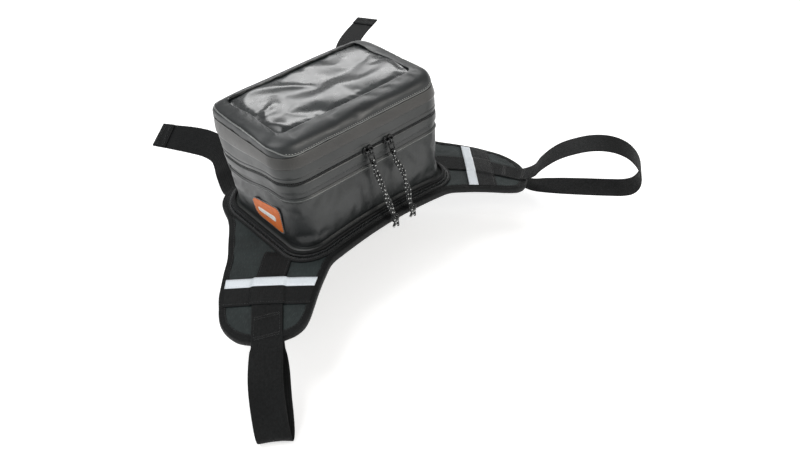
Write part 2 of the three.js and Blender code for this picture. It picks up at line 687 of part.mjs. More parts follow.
// ---- assembly ----
addBody();
addBadge();
addBaseZip();
addLid();
addLidSliders();
addBaseSlider();
addMiddle();
addWing(LEFT);
addWing(RIGHT);
addStrapLoop(RIGHT, RIGHT_LOOP);
addStrapLoop(LEFT, LEFT_LOOP);
addFrontStrap(RIGHT, RIGHT_FRONT);
addFrontStrap(LEFT, LEFT_FRONT);

export default root;
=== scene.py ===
"""Looks for a soft tank bag on its harness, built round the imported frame.

The bag stands on an arched harness with a wing to each side. x runs left (-) to right (+),
y from the near wall (-) to the far, front wall (+), and z up. Shapes are drawn in millimetres;
heights count from the bag's own level, which lies BAG_LEVEL above the frame origin.
"""

import math

import bmesh
import bpy
import numpy as np
from mathutils import Matrix, Vector, geometry


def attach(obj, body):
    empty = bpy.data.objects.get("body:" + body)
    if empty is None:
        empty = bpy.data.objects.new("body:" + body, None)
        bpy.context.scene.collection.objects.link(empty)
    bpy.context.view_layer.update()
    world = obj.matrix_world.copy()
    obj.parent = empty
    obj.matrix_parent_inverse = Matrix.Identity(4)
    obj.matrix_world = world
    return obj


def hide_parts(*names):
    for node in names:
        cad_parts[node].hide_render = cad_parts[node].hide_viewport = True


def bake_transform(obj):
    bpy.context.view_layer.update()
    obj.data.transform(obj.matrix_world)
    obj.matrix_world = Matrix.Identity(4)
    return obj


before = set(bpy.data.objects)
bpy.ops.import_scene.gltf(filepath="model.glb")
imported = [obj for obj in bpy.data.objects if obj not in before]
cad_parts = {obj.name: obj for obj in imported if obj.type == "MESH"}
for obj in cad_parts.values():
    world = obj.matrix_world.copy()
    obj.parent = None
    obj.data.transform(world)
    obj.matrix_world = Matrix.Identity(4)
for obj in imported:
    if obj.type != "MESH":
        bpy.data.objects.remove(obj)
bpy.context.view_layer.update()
scene = bpy.context.scene
rng = np.random.default_rng(11)

# ------------------------------------------------------------------ driving dimensions (mm)
MM = 0.001
BAG_LEVEL = 14.2
HALF_W, FAR, CORNER_R = 114.0, 76.0, 28.0  # plan of the walls
NEAR_BASE, NEAR_LEAN, LEAN_H = -88, 12, 125  # the near wall leans in by 12 over 125 of height
FLOOR_Z, WALL_T = -6.4, 1.5
TUB_TOP, LID_BOTTOM, ZIP_Z, TOP_Z = 78.6, 84.8, 81.6, 128.4
TILT = 0.023  # fall of the lid's top towards the far side
ARCH = -7.6e-4  # height of the arched base is ARCH * x^2
HARNESS_Z = -7.6  # top of the harness sheet
WIN_HALF_W, WIN_NEAR, WIN_FAR, WIN_R = 95.5, -50.0, 60.0, 9.0
X_AXIS, Y_AXIS, Z_AXIS = np.eye(3)


def arch(x):
    return ARCH * np.asarray(x, float) ** 2


def arch_fall(point, direction):
    """Height the arch gains along a level direction at a point."""
    return 2 * ARCH * point[0] * direction[0]


def near_wall(z):
    return NEAR_BASE + NEAR_LEAN * np.clip(np.asarray(z, float), 0, LEAN_H) / LEAN_H


def smooth(t):
    t = np.clip(t, 0, 1)
    return t * t * (3 - 2 * t)


def bag_shape(points):
    """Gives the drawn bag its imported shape: swollen ends and far side, sagging end seams."""
    V = np.array(points, float)
    x, y, z = V.T.copy()
    width, side = np.abs(x), np.sign(x)
    rise = smooth(z / 112)
    # seams sag along the ends
    sag = 15.0 * smooth((width - 84) / 24) * smooth((y + 52) / 84) * (1 - smooth((y - 50) / 22))
    V[:, 2] -= sag * smooth((z - 2) / 46) * (1 - smooth((z - 86) / 34))
    # the top of the lid stands up, most at the far side
    V[:, 2] += 3.6 * smooth((z - 110) / 18) * (0.35 + 0.65 * smooth((y + 72) / 60))
    # ends and far side swell; nothing far moves at the height of the hinge
    V[:, 0] += side * np.where(x < 0, 4.6, 3.6) * rise * smooth((width - 62) / 48)
    hinge_free = np.where(y > 0, smooth((z - 90) / 24), 1.0)
    V[:, 1] += 3.4 * hinge_free * smooth((y - 20) / 50) * (y > 0)
    # corners stay crisp, pulled outwards
    corner = smooth((width - 86) / 24) * smooth((np.abs(y + 4) - 54) / 22) * rise
    pull = np.where((x < 0) & (y < 0), 0.8, 2.6)
    V[:, 0] += side * pull * corner
    V[:, 1] += np.sign(y + 4) * pull * corner * np.where(y < 0, 0.5, hinge_free)
    return V


# ------------------------------------------------------------------ mesh building
def grid_faces(nu, nv, wrap=False):
    faces = []
    for i in range(nu - (0 if wrap else 1)):
        for j in range(nv - 1):
            a, b = i * nv + j, ((i + 1) % nu) * nv + j
            faces.append((a, b, b + 1, a + 1))
    return faces


class Part:
    """Gathers grids, faces and caps in millimetres, and makes one object of them."""

    def __init__(self):
        self.points, self.faces, self.uvs, self.mats, self.count = [], [], [], [], 0

    def add(self, points, faces, uv=None, mat=0):
        points = np.asarray(points, float).reshape(-1, 3)
        uv = points[:, :2] * MM if uv is None else np.asarray(uv, float).reshape(-1, 2)
        self.points.append(points)
        self.uvs.append(uv)
        for face in faces:
            self.faces.append(tuple(int(i) + self.count for i in face))
            self.mats.append(mat)
        self.count += len(points)

    def grid(self, G, mat=0, close_u=False, close_v=False):
        """Adds a grid of points; its UVs are mean lengths in metres."""
        G = np.asarray(G, float)
        if close_u:
            G = np.concatenate([G, G[:1]], 0)
        if close_v:
            G = np.concatenate([G, G[:, :1]], 1)
        du = np.linalg.norm(np.diff(G, axis=0), axis=2).mean(1)
        dv = np.linalg.norm(np.diff(G, axis=1), axis=2).mean(0)
        u, v = (np.concatenate([[0], np.cumsum(d)]) * MM for d in (du, dv))
        uv = np.stack(np.meshgrid(u, v, indexing="ij"), 2)
        self.add(G, grid_faces(*G.shape[:2]), uv, mat)

    def cap(self, loop, mat=0):
        self.add(loop, [tuple(range(len(loop)))], None, mat)

    def build(self, name, mats, body=None, sharp=None, give=False):
        """Makes the object; sharp is an edge angle in degrees, give applies the bag's shape."""
        V = np.concatenate(self.points)
        if give:
            V = bag_shape(V)
        V = (V + [0, 0, BAG_LEVEL]) * MM
        mesh = bpy.data.meshes.new(name)
        mesh.from_pydata(V.tolist(), [], self.faces)
        layer = mesh.uv_layers.new(name="UVMap")
        index = np.zeros(len(mesh.loops), np.int32)
        mesh.loops.foreach_get("vertex_index", index)
        uv = np.concatenate(self.uvs)[index]
        layer.data.foreach_set("uv", uv.astype(np.float32).ravel())
        for mat in mats if isinstance(mats, (list, tuple)) else [mats]:
            mesh.materials.append(mat)
        mesh.polygons.foreach_set("material_index", np.array(self.mats, np.int32))
        bm = bmesh.new()
        bm.from_mesh(mesh)
        bmesh.ops.remove_doubles(bm, verts=bm.verts, dist=2e-6)
        bmesh.ops.dissolve_degenerate(bm, edges=bm.edges, dist=1e-7)
        bmesh.ops.recalc_face_normals(bm, faces=bm.faces)
        if sharp is not None:
            for edge in bm.edges:
                if len(edge.link_faces) == 2 and edge.calc_face_angle(0) > math.radians(sharp):
                    edge.smooth = False
        bm.to_mesh(mesh)
        bm.free()
        mesh.polygons.foreach_set("use_smooth", [True] * len(mesh.polygons))
        mesh.update()
        ob = bpy.data.objects.new(name, mesh)
        scene.collection.objects.link(ob)
        if body:
            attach(ob, body)
        return ob


def stand_for(ob, *nodes, slot):
    if nodes:
        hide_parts(*nodes)


# ------------------------------------------------------------------ lines and outlines
def unit(v):
    v = np.asarray(v, float)
    return v / np.maximum(np.linalg.norm(v, axis=-1, keepdims=True) if False else
                          np.linalg.norm(v, axis=-1, keepdims=True), 1e-9)


def square_to(v, axis):
    """v made square to unit axes and unit long."""
    return unit(v - axis * (v * axis).sum(1, keepdims=True))


def turn(n):
    """n angles round a full turn."""
    return np.linspace(0, 2 * np.pi, n + 1)[:-1]


def run_along(P):
    return np.concatenate([[0], np.cumsum(np.linalg.norm(np.diff(P, axis=0), axis=1))])


def sample(s, run, values):
    return np.stack([np.interp(s, run, values[:, k]) for k in range(values.shape[1])], 1)


def spline(P, step, extra=None):
    """Points evenly spaced along a smooth curve through P; extra is a list carried along."""
    P = np.asarray(P, float)
    padded = np.concatenate([[2 * P[0] - P[1]], P, [2 * P[-1] - P[-2]]])
    carried = None if extra is None else np.asarray(extra, float)
    curve, carry = [], []

    def between(t, ta, a, tb, b):
        return (tb - t) / (tb - ta) * a + (t - ta) / (tb - ta) * b

    for i in range(len(P) - 1):
        p0, p1, p2, p3 = padded[i : i + 4]
        t0 = 0
        t1 = t0 + max(np.linalg.norm(p1 - p0), 1e-6) ** 0.5
        t2 = t1 + max(np.linalg.norm(p2 - p1), 1e-6) ** 0.5
        t3 = t2 + max(np.linalg.norm(p3 - p2), 1e-6) ** 0.5
        for k in range(24):
            t = t1 + (t2 - t1) * k / 24
            a1 = between(t, t0, p0, t1, p1)
            a2 = between(t, t1, p1, t2, p2)
            a3 = between(t, t2, p2, t3, p3)
            b1 = between(t, t0, a1, t2, a2)
            b2 = between(t, t1, a2, t3, a3)
            curve.append(between(t, t1, b1, t2, b2))
            if carried is not None:
                carry.append(carried[i] + (carried[i + 1] - carried[i]) * k / 24)
    curve = np.array(curve + [P[-1]])
    run = run_along(curve)
    s = np.linspace(0, run[-1], max(2, int(round(run[-1] / step)) + 1))
    if carried is None:
        return sample(s, run, curve)
    return sample(s, run, curve), sample(s, run, np.array(carry + [carried[-1]]))


def tangents(P):
    return unit(np.gradient(P, axis=0))


def frames_along(P, up):
    """Frames along a path that turn as little as they can: tangent, side, normal."""
    T = tangents(P)
    n = np.asarray(up, float) - T[0] * np.dot(up, T[0])
    N = [n / np.linalg.norm(n)]
    for i in range(1, len(P)):
        n = N[-1] - T[i] * np.dot(N[-1], T[i])
        N.append(n / np.linalg.norm(n))
    N = np.array(N)
    return T, np.cross(T, N), N


def add_tube(part, P, r, sides, up, mat=0):
    """Round tube with rounded ends along P."""
    P = np.asarray(P, float)
    T, B, N = frames_along(P, up)
    a = np.linspace(0, 2 * np.pi, sides + 1)
    ring = np.cos(a)[None, :, None] * B[:, None] + np.sin(a)[None, :, None] * N[:, None]
    G = P[:, None] + r * ring
    ends = []
    for end, sign in ((0, -1), (-1, 1)):
        rows = []
        for q in (0.35, 0.7, 0.94, 1.0):
            shrink = math.sqrt(max(0, 1 - q * q)) + 1e-4
            rows.append(P[end] + sign * T[end] * r * q * 0.8 + (G[end] - P[end]) * shrink)
        ends.append(rows[::sign])
    part.grid(np.concatenate([np.array(ends[0]), G, np.array(ends[1])]), mat)


def fillet(polygon, r, seg=3):
    """A closed 2-D polygon with its corners rounded."""
    P = np.asarray(polygon, float)
    out = []
    for i in range(len(P)):
        a, b, c = P[i - 1], P[i], P[(i + 1) % len(P)]
        to_a, to_c = unit(a - b), unit(c - b)
        angle = math.acos(float(np.clip(np.dot(to_a, to_c), -1, 1)))
        if angle > math.radians(176):
            out.append(b)
            continue
        room = min(np.linalg.norm(a - b) * 0.45, np.linalg.norm(c - b) * 0.45)
        t = min(r / math.tan(angle / 2), room)
        p, q = b + to_a * t, b + to_c * t
        for k in range(seg + 1):
            s = k / seg
            out.append((1 - s) ** 2 * p + 2 * s * (1 - s) * b + s * s * q)
    return np.array(out)


def densify(polygon, step):
    P = np.asarray(polygon, float)
    out = []
    for a, b in zip(P, np.roll(P, -1, 0)):
        k = max(1, int(np.linalg.norm(b - a) / step))
        out += [a + (b - a) * j / k for j in range(k)]
    return np.array(out)


def resample_closed(P, n):
    closed = np.concatenate([P, P[:1]])
    run = run_along(closed)
    return sample(np.linspace(0, run[-1], n + 1)[:-1], run, closed)


def circle(cx, cy, r, n):
    return [[cx + r * math.cos(a), cy + r * math.sin(a)] for a in turn(n)]


def rounded(cx, cy, w, h, r, n=6):
    """Rectangle with round corners of n segments each."""
    P = []
    for q, (sx, sy) in enumerate(((1, 1), (-1, 1), (-1, -1), (1, -1))):
        for k in range(n + 1):
            a = math.pi / 2 * (q + k / n)
            x = cx + sx * (w / 2 - r) + r * math.cos(a)
            P.append((x, cy + sy * (h / 2 - r) + r * math.sin(a)))
    return np.array(P)


def rounded_path(half_w, far, near, r, u_shape=False):
    """Rows of x, a, b, nx, ny round a rounded rectangle, where y = a + b * near_wall.

    far and near are the (a, b) of those sides. The path runs counter-clockwise, seen from
    above, from the far middle; the U leaves out the far side and part of its corners.
    """
    rows = []
    x_in = half_w - r
    far_c, near_c = (far[0] - r, far[1]), (near[0] + r, near[1])
    cut = 20.9  # degrees of each far corner that the U keeps

    def straight(x0, x1, ya, yb, n, normal):
        for t in (i / n for i in range(n)):
            y = (ya[0] + (yb[0] - ya[0]) * t, ya[1] + (yb[1] - ya[1]) * t)
            rows.append((x0 + (x1 - x0) * t, *y, *normal))

    def corner(cx, centre, a0, a1, n):
        for i in range(n):
            a = math.radians(a0 + (a1 - a0) * i / n)
            nx, ny = math.cos(a), math.sin(a)
            rows.append((cx + r * nx, centre[0] + r * ny, centre[1], nx, ny))

    if u_shape:
        corner(-x_in, far_c, 180 - cut, 180, 4)
    else:
        straight(0, -x_in, far, far, 22, (0, 1))
        corner(-x_in, far_c, 90, 180, 14)
    straight(-half_w, -half_w, far_c, near_c, 28, (-1, 0))
    corner(-x_in, near_c, 180, 270, 14)
    straight(-x_in, x_in, near, near, 46, (0, -1))
    corner(x_in, near_c, 270, 360, 14)
    straight(half_w, half_w, near_c, far_c, 28, (1, 0))
    if u_shape:
        corner(x_in, far_c, 0, cut, 4)
        a = math.radians(cut)
        nx, ny = math.cos(a), math.sin(a)
        rows.append((x_in + r * nx, far_c[0] + r * ny, 0, nx, ny))
    else:
        corner(x_in, far_c, 0, 90, 14)
        straight(x_in, 0, far, far, 22, (0, 1))
        rows.append((0, *far, 0, 1))
    return np.array(rows)


CLOSED_PATH = rounded_path(HALF_W, (FAR, 0), (0, 1), CORNER_R)
U_PATH = rounded_path(HALF_W, (FAR, 0), (0, 1), CORNER_R, u_shape=True)
LOOP_PATH = CLOSED_PATH[:-1]  # without the repeated first point
N_PATH = len(LOOP_PATH)


def outward(path):
    return np.column_stack([path[:, 3], path[:, 4], np.zeros(len(path))])


def on_wall(path, off, z, arched=False):
    """Points off out from the wall at height z, which the arch lowers if arched."""
    x = path[:, 0] + off * path[:, 3]
    z = np.broadcast_to(np.asarray(z, float), x.shape)
    y = path[:, 1] + path[:, 2] * near_wall(z) + off * path[:, 4]
    return np.stack([x, y, z + (arch(x) if arched else 0)], 1)


def add_ring(part, profile, u_shape=False, arched=False, mat=0):
    """Sweeps a closed profile of (out, z) round the walls."""
    path = U_PATH if u_shape else CLOSED_PATH
    profile = np.asarray(profile, float)
    closed = np.concatenate([profile, profile[:1]])
    G = np.stack([on_wall(path, off, z, arched) for off, z in closed], 1)
    part.grid(G, mat)
    if u_shape:
        part.cap(G[0, :-1][::-1], mat)
        part.cap(G[-1, :-1], mat)


def ring_object(name, profile, mat, body, node, slot, u_shape=False, arched=False, r=0.3, step=2.2):
    part = Part()
    add_ring(part, densify(fillet(profile, r), step), u_shape, arched)
    stand_for(part.build(name, mat, body, give=not arched), node, slot=slot)


# ------------------------------------------------------------------ stitches and zip teeth
def bead_faces(rings, sides):
    """Faces of a small closed bead made of rings."""
    faces = []
    for j in range(rings - 1):
        for k in range(sides):
            a, b = j * sides + k, j * sides + (k + 1) % sides
            faces.append((a, b, b + sides, a + sides))
    faces.append(tuple(range(sides - 1, -1, -1)))
    faces.append(tuple(range((rings - 1) * sides, rings * sides)))
    return faces


def add_stitches(part, line, normal, length, pitch, r, mat=1, lift=0.05):
    """Short rounded threads lying along a line."""
    line = np.asarray(line, float)
    run = run_along(line)
    s = np.arange(pitch / 2, run[-1], pitch)
    centres = sample(s, run, line)
    T = unit(sample(s + 0.1, run, line) - sample(s - 0.1, run, line))
    normals = np.broadcast_to(np.asarray(normal, float), line.shape)
    N = square_to(sample(s, run, normals), T)
    B = np.cross(T, N)
    # place along the stitch, thickness, height; in half lengths and radii
    rings = [(-1.0, 0.25, -0.9), (-0.72, 0.8, -0.25), (0, 1.0, 0.35), (0.72, 0.8, -0.25),
             (1.0, 0.25, -0.9)]
    sides = 6
    faces, uv = bead_faces(len(rings), sides), np.zeros((len(rings) * sides, 2))
    for i in range(len(centres)):
        V = []
        for q, w, h in rings:
            c = centres[i] + T[i] * q * length / 2 + N[i] * (lift + r * h)
            V += [c + w * r * (math.cos(t) * B[i] + math.sin(t) * N[i]) for t in turn(sides)]
        part.add(V, faces, uv, mat)


def add_teeth(part, path, off, z, pitch, size, phase, arched=False, lean=0.0):
    """Rounded coil teeth along the wall; size is along, out and up, phase in pitches."""
    line = on_wall(path, off, z, arched)
    run = run_along(line)
    s = np.arange(pitch * (0.5 + phase), run[-1] - pitch * 0.4, pitch)
    centres = sample(s, run, line)
    N = unit(sample(s, run, outward(path)))
    T = square_to(unit(sample(s, run, np.gradient(line, axis=0))), N)
    Z = np.cross(N, T)
    Z *= np.sign(Z[:, 2:3])
    a, b, c = [x / 2 for x in size]
    section = [(math.cos(q), math.sin(q)) for q in turn(8) + np.pi / 8]
    section = [(np.sign(p) * abs(p) ** 0.6, np.sign(q) * abs(q) ** 0.6) for p, q in section]
    levels = [(-1, 0.55), (-0.75, 1.0), (0.75, 1.0), (1, 0.55)]  # height, thickness
    faces, uv = bead_faces(4, 8), np.zeros((32, 2))
    for o, t, n, up in zip(centres, T, N, Z):
        V = [o + t * (p * a * w + lean * h * c) + n * q * b * w + up * h * c
             for h, w in levels for p, q in section]
        part.add(V, faces, uv)


# ------------------------------------------------------------------ materials
def linear(hex_color):
    h = hex_color.lstrip("#")
    c = [int(h[i : i + 2], 16) / 255 for i in (0, 2, 4)]
    return tuple((x / 12.92 if x <= 0.04045 else ((x + 0.055) / 1.055) ** 2.4) for x in c) + (1.0,)


class Mat:
    """A Principled material with short calls for the nodes that drive it."""

    def __init__(self, name, color, rough, metal=0.0, spec=0.5,
                 coat=0.0, coat_rough=0.2, sheen=0.0, sheen_rough=0.4):
        self.mat = bpy.data.materials.new(name)
        self.mat.use_nodes = True
        self.tree = self.mat.node_tree
        self.tree.nodes.clear()
        out = self.node("ShaderNodeOutputMaterial")
        self.bsdf = self.node("ShaderNodeBsdfPrincipled")
        self.link(self.bsdf.outputs[0], out.inputs[0])
        for key, value in {
            "Base Color": linear(color), "Roughness": rough, "Metallic": metal,
            "Specular IOR Level": spec, "Coat Weight": coat, "Coat Roughness": coat_rough,
            "Sheen Weight": sheen, "Sheen Roughness": sheen_rough,
        }.items():
            self.bsdf.inputs[key].default_value = value
        coords = self.node("ShaderNodeTexCoord")
        self.obj, self.uv = coords.outputs["Object"], coords.outputs["UV"]
        self.normal = None
        self.mat.diffuse_color = linear(color)

    def node(self, kind):
        return self.tree.nodes.new(kind)

    def link(self, a, b):
        self.tree.links.new(a, b)

    def put(self, socket, value):
        if isinstance(value, bpy.types.NodeSocket):
            self.link(value, socket)
        else:
            socket.default_value = linear(value) if isinstance(value, str) else value

    def color(self, value):
        self.link(value, self.bsdf.inputs["Base Color"])

    def roughness(self, value):
        self.link(value, self.bsdf.inputs["Roughness"])

    def math(self, op, a, b=0.0, c=0.0, clamp=False):
        n = self.node("ShaderNodeMath")
        n.operation, n.use_clamp = op, clamp
        for socket, value in zip(n.inputs, (a, b, c)):
            self.put(socket, value)
        return n.outputs[0]

    def noise(self, scale, detail=3.0, rough=0.55, co=None):
        n = self.node("ShaderNodeTexNoise")
        self.link(co or self.obj, n.inputs["Vector"])
        n.inputs["Scale"].default_value, n.inputs["Detail"].default_value = scale, detail
        n.inputs["Roughness"].default_value = rough
        return n.outputs[0]

    def voronoi(self, scale, co=None, feature="F1"):
        n = self.node("ShaderNodeTexVoronoi")
        n.feature = feature
        self.link(co or self.obj, n.inputs["Vector"])
        n.inputs["Scale"].default_value = scale
        return n.outputs[0]

    def stretched(self, co, scale):
        n = self.node("ShaderNodeMapping")
        self.link(co, n.inputs["Vector"])
        n.inputs["Scale"].default_value = scale
        return n.outputs[0]

    def xyz(self, co):
        n = self.node("ShaderNodeSeparateXYZ")
        self.link(co, n.inputs[0])
        return n.outputs

    def mix(self, factor, a, b):
        n = self.node("ShaderNodeMix")
        n.data_type = "RGBA"
        for k, value in ((0, factor), (6, a), (7, b)):
            self.put(n.inputs[k], value)
        return n.outputs[2]

    def remap(self, value, span, to=(0, 1)):
        n = self.node("ShaderNodeMapRange")
        self.put(n.inputs[0], value)
        for k, x in enumerate((*span, *to)):
            n.inputs[k + 1].default_value = x
        return n.outputs[0]

    def speckle(self, scale, detail=3.0, rough=0.55, span=(0.3, 0.7), to=(0, 1)):
        """Noise whose values over span are spread over to."""
        return self.remap(self.noise(scale, detail, rough), span, to)

    def bump(self, height, strength, distance):
        """Adds relief of distance metres over the relief so far."""
        n = self.node("ShaderNodeBump")
        n.inputs["Strength"].default_value = strength
        n.inputs["Distance"].default_value = distance
        self.link(height, n.inputs["Height"])
        if self.normal is not None:
            self.link(self.normal, n.inputs["Normal"])
        self.normal = n.outputs[0]
        self.link(self.normal, self.bsdf.inputs["Normal"])
        self.link(self.normal, self.bsdf.inputs["Coat Normal"])

    def turns(self, value, pitch):
        return self.math("MULTIPLY", value, 2 * math.pi / pitch)

    def half(self, value):
        """-1 to 1 brought to 0 to 1."""
        return self.math("MULTIPLY_ADD", value, 0.5, 0.5)

    def checks(self, co, pitch):
        """Product of sines along both directions, pitch in metres."""
        s = self.xyz(co)
        a, b = (self.math("SINE", self.turns(s[k], pitch)) for k in (0, 1))
        return self.math("MULTIPLY", a, b)

    def worn_edge(self, span, to):
        return self.remap(self.node("ShaderNodeNewGeometry").outputs["Pointiness"], span, to)


def coated(name, dark="#17191a", light="#272a2a", rough=0.4, grain=1.0):
    """Satin coated fabric: fine grain, a faint weave from the cloth under it, scuffed edges."""
    m = Mat(name, dark, rough, spec=0.55, coat=0.12, coat_rough=0.35)
    color = m.mix(m.speckle(scale=9, detail=4, rough=0.6), dark, light)
    fine = m.speckle(scale=900, detail=2, rough=0.6, span=(0.35, 0.75), to=(0.0, 0.2))
    color = m.mix(fine, color, "#35393a")
    edge = m.worn_edge(span=(0.53, 0.60), to=(0.0, 0.55))
    wear = m.math("MULTIPLY", edge, m.speckle(scale=160, span=(0.4, 0.7)))
    m.color(m.mix(wear, color, "#55595a"))
    m.roughness(m.speckle(scale=38, detail=4, rough=0.65, to=(rough - 0.07, rough + 0.1)))
    m.bump(m.noise(scale=14, rough=0.5), strength=0.35 * grain, distance=0.0016)
    m.bump(m.noise(scale=75, rough=0.6), strength=0.3 * grain, distance=0.0003)
    m.bump(m.half(m.checks(m.obj, pitch=0.0011)), strength=0.12 * grain, distance=0.00006)
    m.bump(m.noise(scale=1400, detail=2, rough=0.6), strength=0.3 * grain, distance=0.00006)
    return m.mat


def fabric(name, dark="#151c1d", light="#263030", rough=0.62, pitch=0.00095, sheen=0.105):
    """Woven polyester: visible plain weave, slubs, soft sheen."""
    m = Mat(name, dark, rough, spec=0.3, sheen=sheen, sheen_rough=0.35)
    weave = m.half(m.checks(m.uv, pitch))
    color = m.mix(m.speckle(scale=22, detail=4, rough=0.65), dark, light)
    color = m.mix(m.remap(weave, span=(0.0, 1.0), to=(0.35, 0.0)), color, "#0e1212")
    slub = m.noise(scale=160, rough=0.7, co=m.stretched(m.uv, (1, 9, 1)))
    m.color(m.mix(m.remap(slub, span=(0.52, 0.72), to=(0.0, 0.3)), color, "#5c6866"))
    m.bump(m.noise(scale=26, rough=0.5), strength=0.3, distance=0.0014)
    m.bump(slub, strength=0.25, distance=0.00012)
    m.bump(weave, strength=0.45, distance=0.00016)
    return m.mat


def webbing(name, dark="#060707", light="#141617", rough=0.66, pitch=0.0018, chevron=0.0024):
    """Woven nylon: chevron ribs across, slightly fuzzy."""
    m = Mat(name, dark, rough, spec=0.22, sheen=0.04, sheen_rough=0.3)
    s = m.xyz(m.uv)
    zigzag = m.math("PINGPONG", s[1], chevron)
    phase = m.math("ADD", m.turns(s[0], pitch), m.turns(zigzag, 0.0016))
    rib = m.half(m.math("SINE", phase))
    shine = m.math("MULTIPLY", rib, m.speckle(scale=300, detail=2, to=(0.35, 1.0)))
    color = m.mix(shine, dark, light)
    faded = m.speckle(scale=30, rough=0.6, span=(0.45, 0.75), to=(0.0, 0.35))
    m.color(m.mix(faded, color, "#1c1e1f"))
    m.roughness(m.speckle(scale=420, detail=2, to=(rough - 0.12, rough + 0.1)))
    m.bump(m.noise(scale=60, detail=2, rough=0.5), strength=0.25, distance=0.0006)
    m.bump(rib, strength=0.6, distance=0.00022)
    m.bump(m.noise(scale=2200, detail=2, rough=0.7), strength=0.25, distance=0.00005)
    return m.mat


def black_metal():
    """Black lacquered zinc, rubbed bright on its edges."""
    base = "#121314"
    m = Mat("black_metal", base, 0.3, metal=0.75, coat=0.5, coat_rough=0.12)
    edge = m.worn_edge(span=(0.54, 0.63), to=(0.0, 1.0))
    patchy = m.speckle(scale=500, rough=0.7, span=(0.38, 0.62))
    m.color(m.mix(m.math("MULTIPLY", edge, patchy, clamp=True), base, "#8b8d8e"))
    m.roughness(m.speckle(scale=260, detail=4, rough=0.7, to=(0.2, 0.42)))
    m.bump(m.noise(scale=700, rough=0.6), strength=0.2, distance=0.00004)
    return m.mat


def plastic(name, base, rough):
    m = Mat(name, base, rough)
    m.color(m.mix(m.speckle(scale=240, span=(0.35, 0.7)), base, "#232526"))
    m.roughness(m.speckle(scale=420, to=(rough - 0.1, rough + 0.12)))
    m.bump(m.noise(scale=900, detail=2), strength=0.3, distance=0.00006)
    return m.mat


def thread(name, dark, light):
    m = Mat(name, dark, 0.5, sheen=0.3)
    m.color(m.mix(m.speckle(scale=1500, detail=2, span=(0.4, 0.6)), dark, light))
    m.bump(m.noise(scale=3000, detail=2), strength=0.4, distance=0.00005)
    return m.mat


def window_film():
    """Glossy film lying over a dark pocket."""
    m = Mat("window_film", "#1b1e1f", 0.28, spec=0.55, coat=0.3, coat_rough=0.2)
    m.color(m.mix(m.speckle(scale=14, rough=0.6), "#191c1d", "#2a2e2f"))
    m.roughness(m.speckle(scale=45, detail=4, rough=0.7, to=(0.24, 0.34)))
    m.bump(m.noise(scale=22, detail=2, rough=0.5), strength=0.12, distance=0.0006)
    m.bump(m.noise(scale=700, rough=0.6), strength=0.12, distance=0.00006)
    return m.mat


def reflective():
    """Grey-white reflective tape: a fine net of cells and small scuffs."""
    m = Mat("reflective_tape", "#dfe6ec", 0.32, spec=0.7, coat=0.4, coat_rough=0.15)
    cell = m.voronoi(scale=900, co=m.uv, feature="DISTANCE_TO_EDGE")
    color = m.mix(m.remap(cell, span=(0.0, 0.06), to=(0.35, 0.0)), "#e6edf3", "#aab2b9")
    scuff = m.speckle(scale=60, detail=4, rough=0.7, span=(0.55, 0.75), to=(0, 0.35))
    m.color(m.mix(scuff, color, "#b9c0c6"))
    m.bump(cell, strength=0.3, distance=0.0001)
    m.bsdf.inputs["Emission Color"].default_value = linear("#e8eef5")
    m.bsdf.inputs["Emission Strength"].default_value = 0.0
    return m.mat


def braided_cord():
    """Braided black cord with white marker yarns; u runs along it in metres, v round it 0 to 1."""
    m = Mat("braided_cord", "#111213", 0.6, spec=0.4, sheen=0.3)
    s = m.xyz(m.uv)

    def yarn(op, pitch, starts):
        around = m.math("MULTIPLY", s[1], starts * 2 * math.pi)
        return m.math("SINE", m.math(op, m.turns(s[0], pitch), around))

    braid = m.half(m.math("MULTIPLY", yarn("ADD", 0.0030, 2), yarn("SUBTRACT", 0.0030, 2)))
    marker = m.remap(yarn("ADD", 0.0052, 1), span=(0.72, 0.86))
    broken = m.remap(yarn("SUBTRACT", 0.0066, 2), span=(0.05, 0.35))
    fleck = m.math("MULTIPLY", marker, broken, clamp=True)
    m.color(m.mix(fleck, m.mix(braid, "#08090a", "#232526"), "#dcdedc"))
    m.bump(braid, strength=0.8, distance=0.0004)
    m.bump(m.noise(scale=2500, detail=2), strength=0.3, distance=0.00006)
    return m.mat


def foam():
    m = Mat("foam_edge", "#151718", 0.9, spec=0.2)
    m.color(m.mix(m.voronoi(scale=900), "#0f1112", "#26292a"))
    m.bump(m.voronoi(scale=1100), strength=0.7, distance=0.0003)
    return m.mat


def grip_rubber():
    """Rubbery underside with rows of small dots."""
    m = Mat("grip_rubber", "#141617", 0.7, spec=0.35)
    dots = m.remap(m.checks(m.uv, pitch=0.005), span=(0.25, 0.6))
    m.color(m.mix(dots, "#121415", "#26292a"))
    m.bump(dots, strength=0.9, distance=0.0006)
    m.bump(m.noise(scale=700), strength=0.3, distance=0.0001)
    return m.mat


def badge_rubber(name, base, first, second, scale, span):
    m = Mat(name, base, 0.5, spec=0.4)
    m.color(m.mix(m.speckle(scale, detail=4, rough=0.7, span=span), first, second))
    m.bump(m.noise(scale=900), strength=0.3, distance=0.0001)
    return m.mat


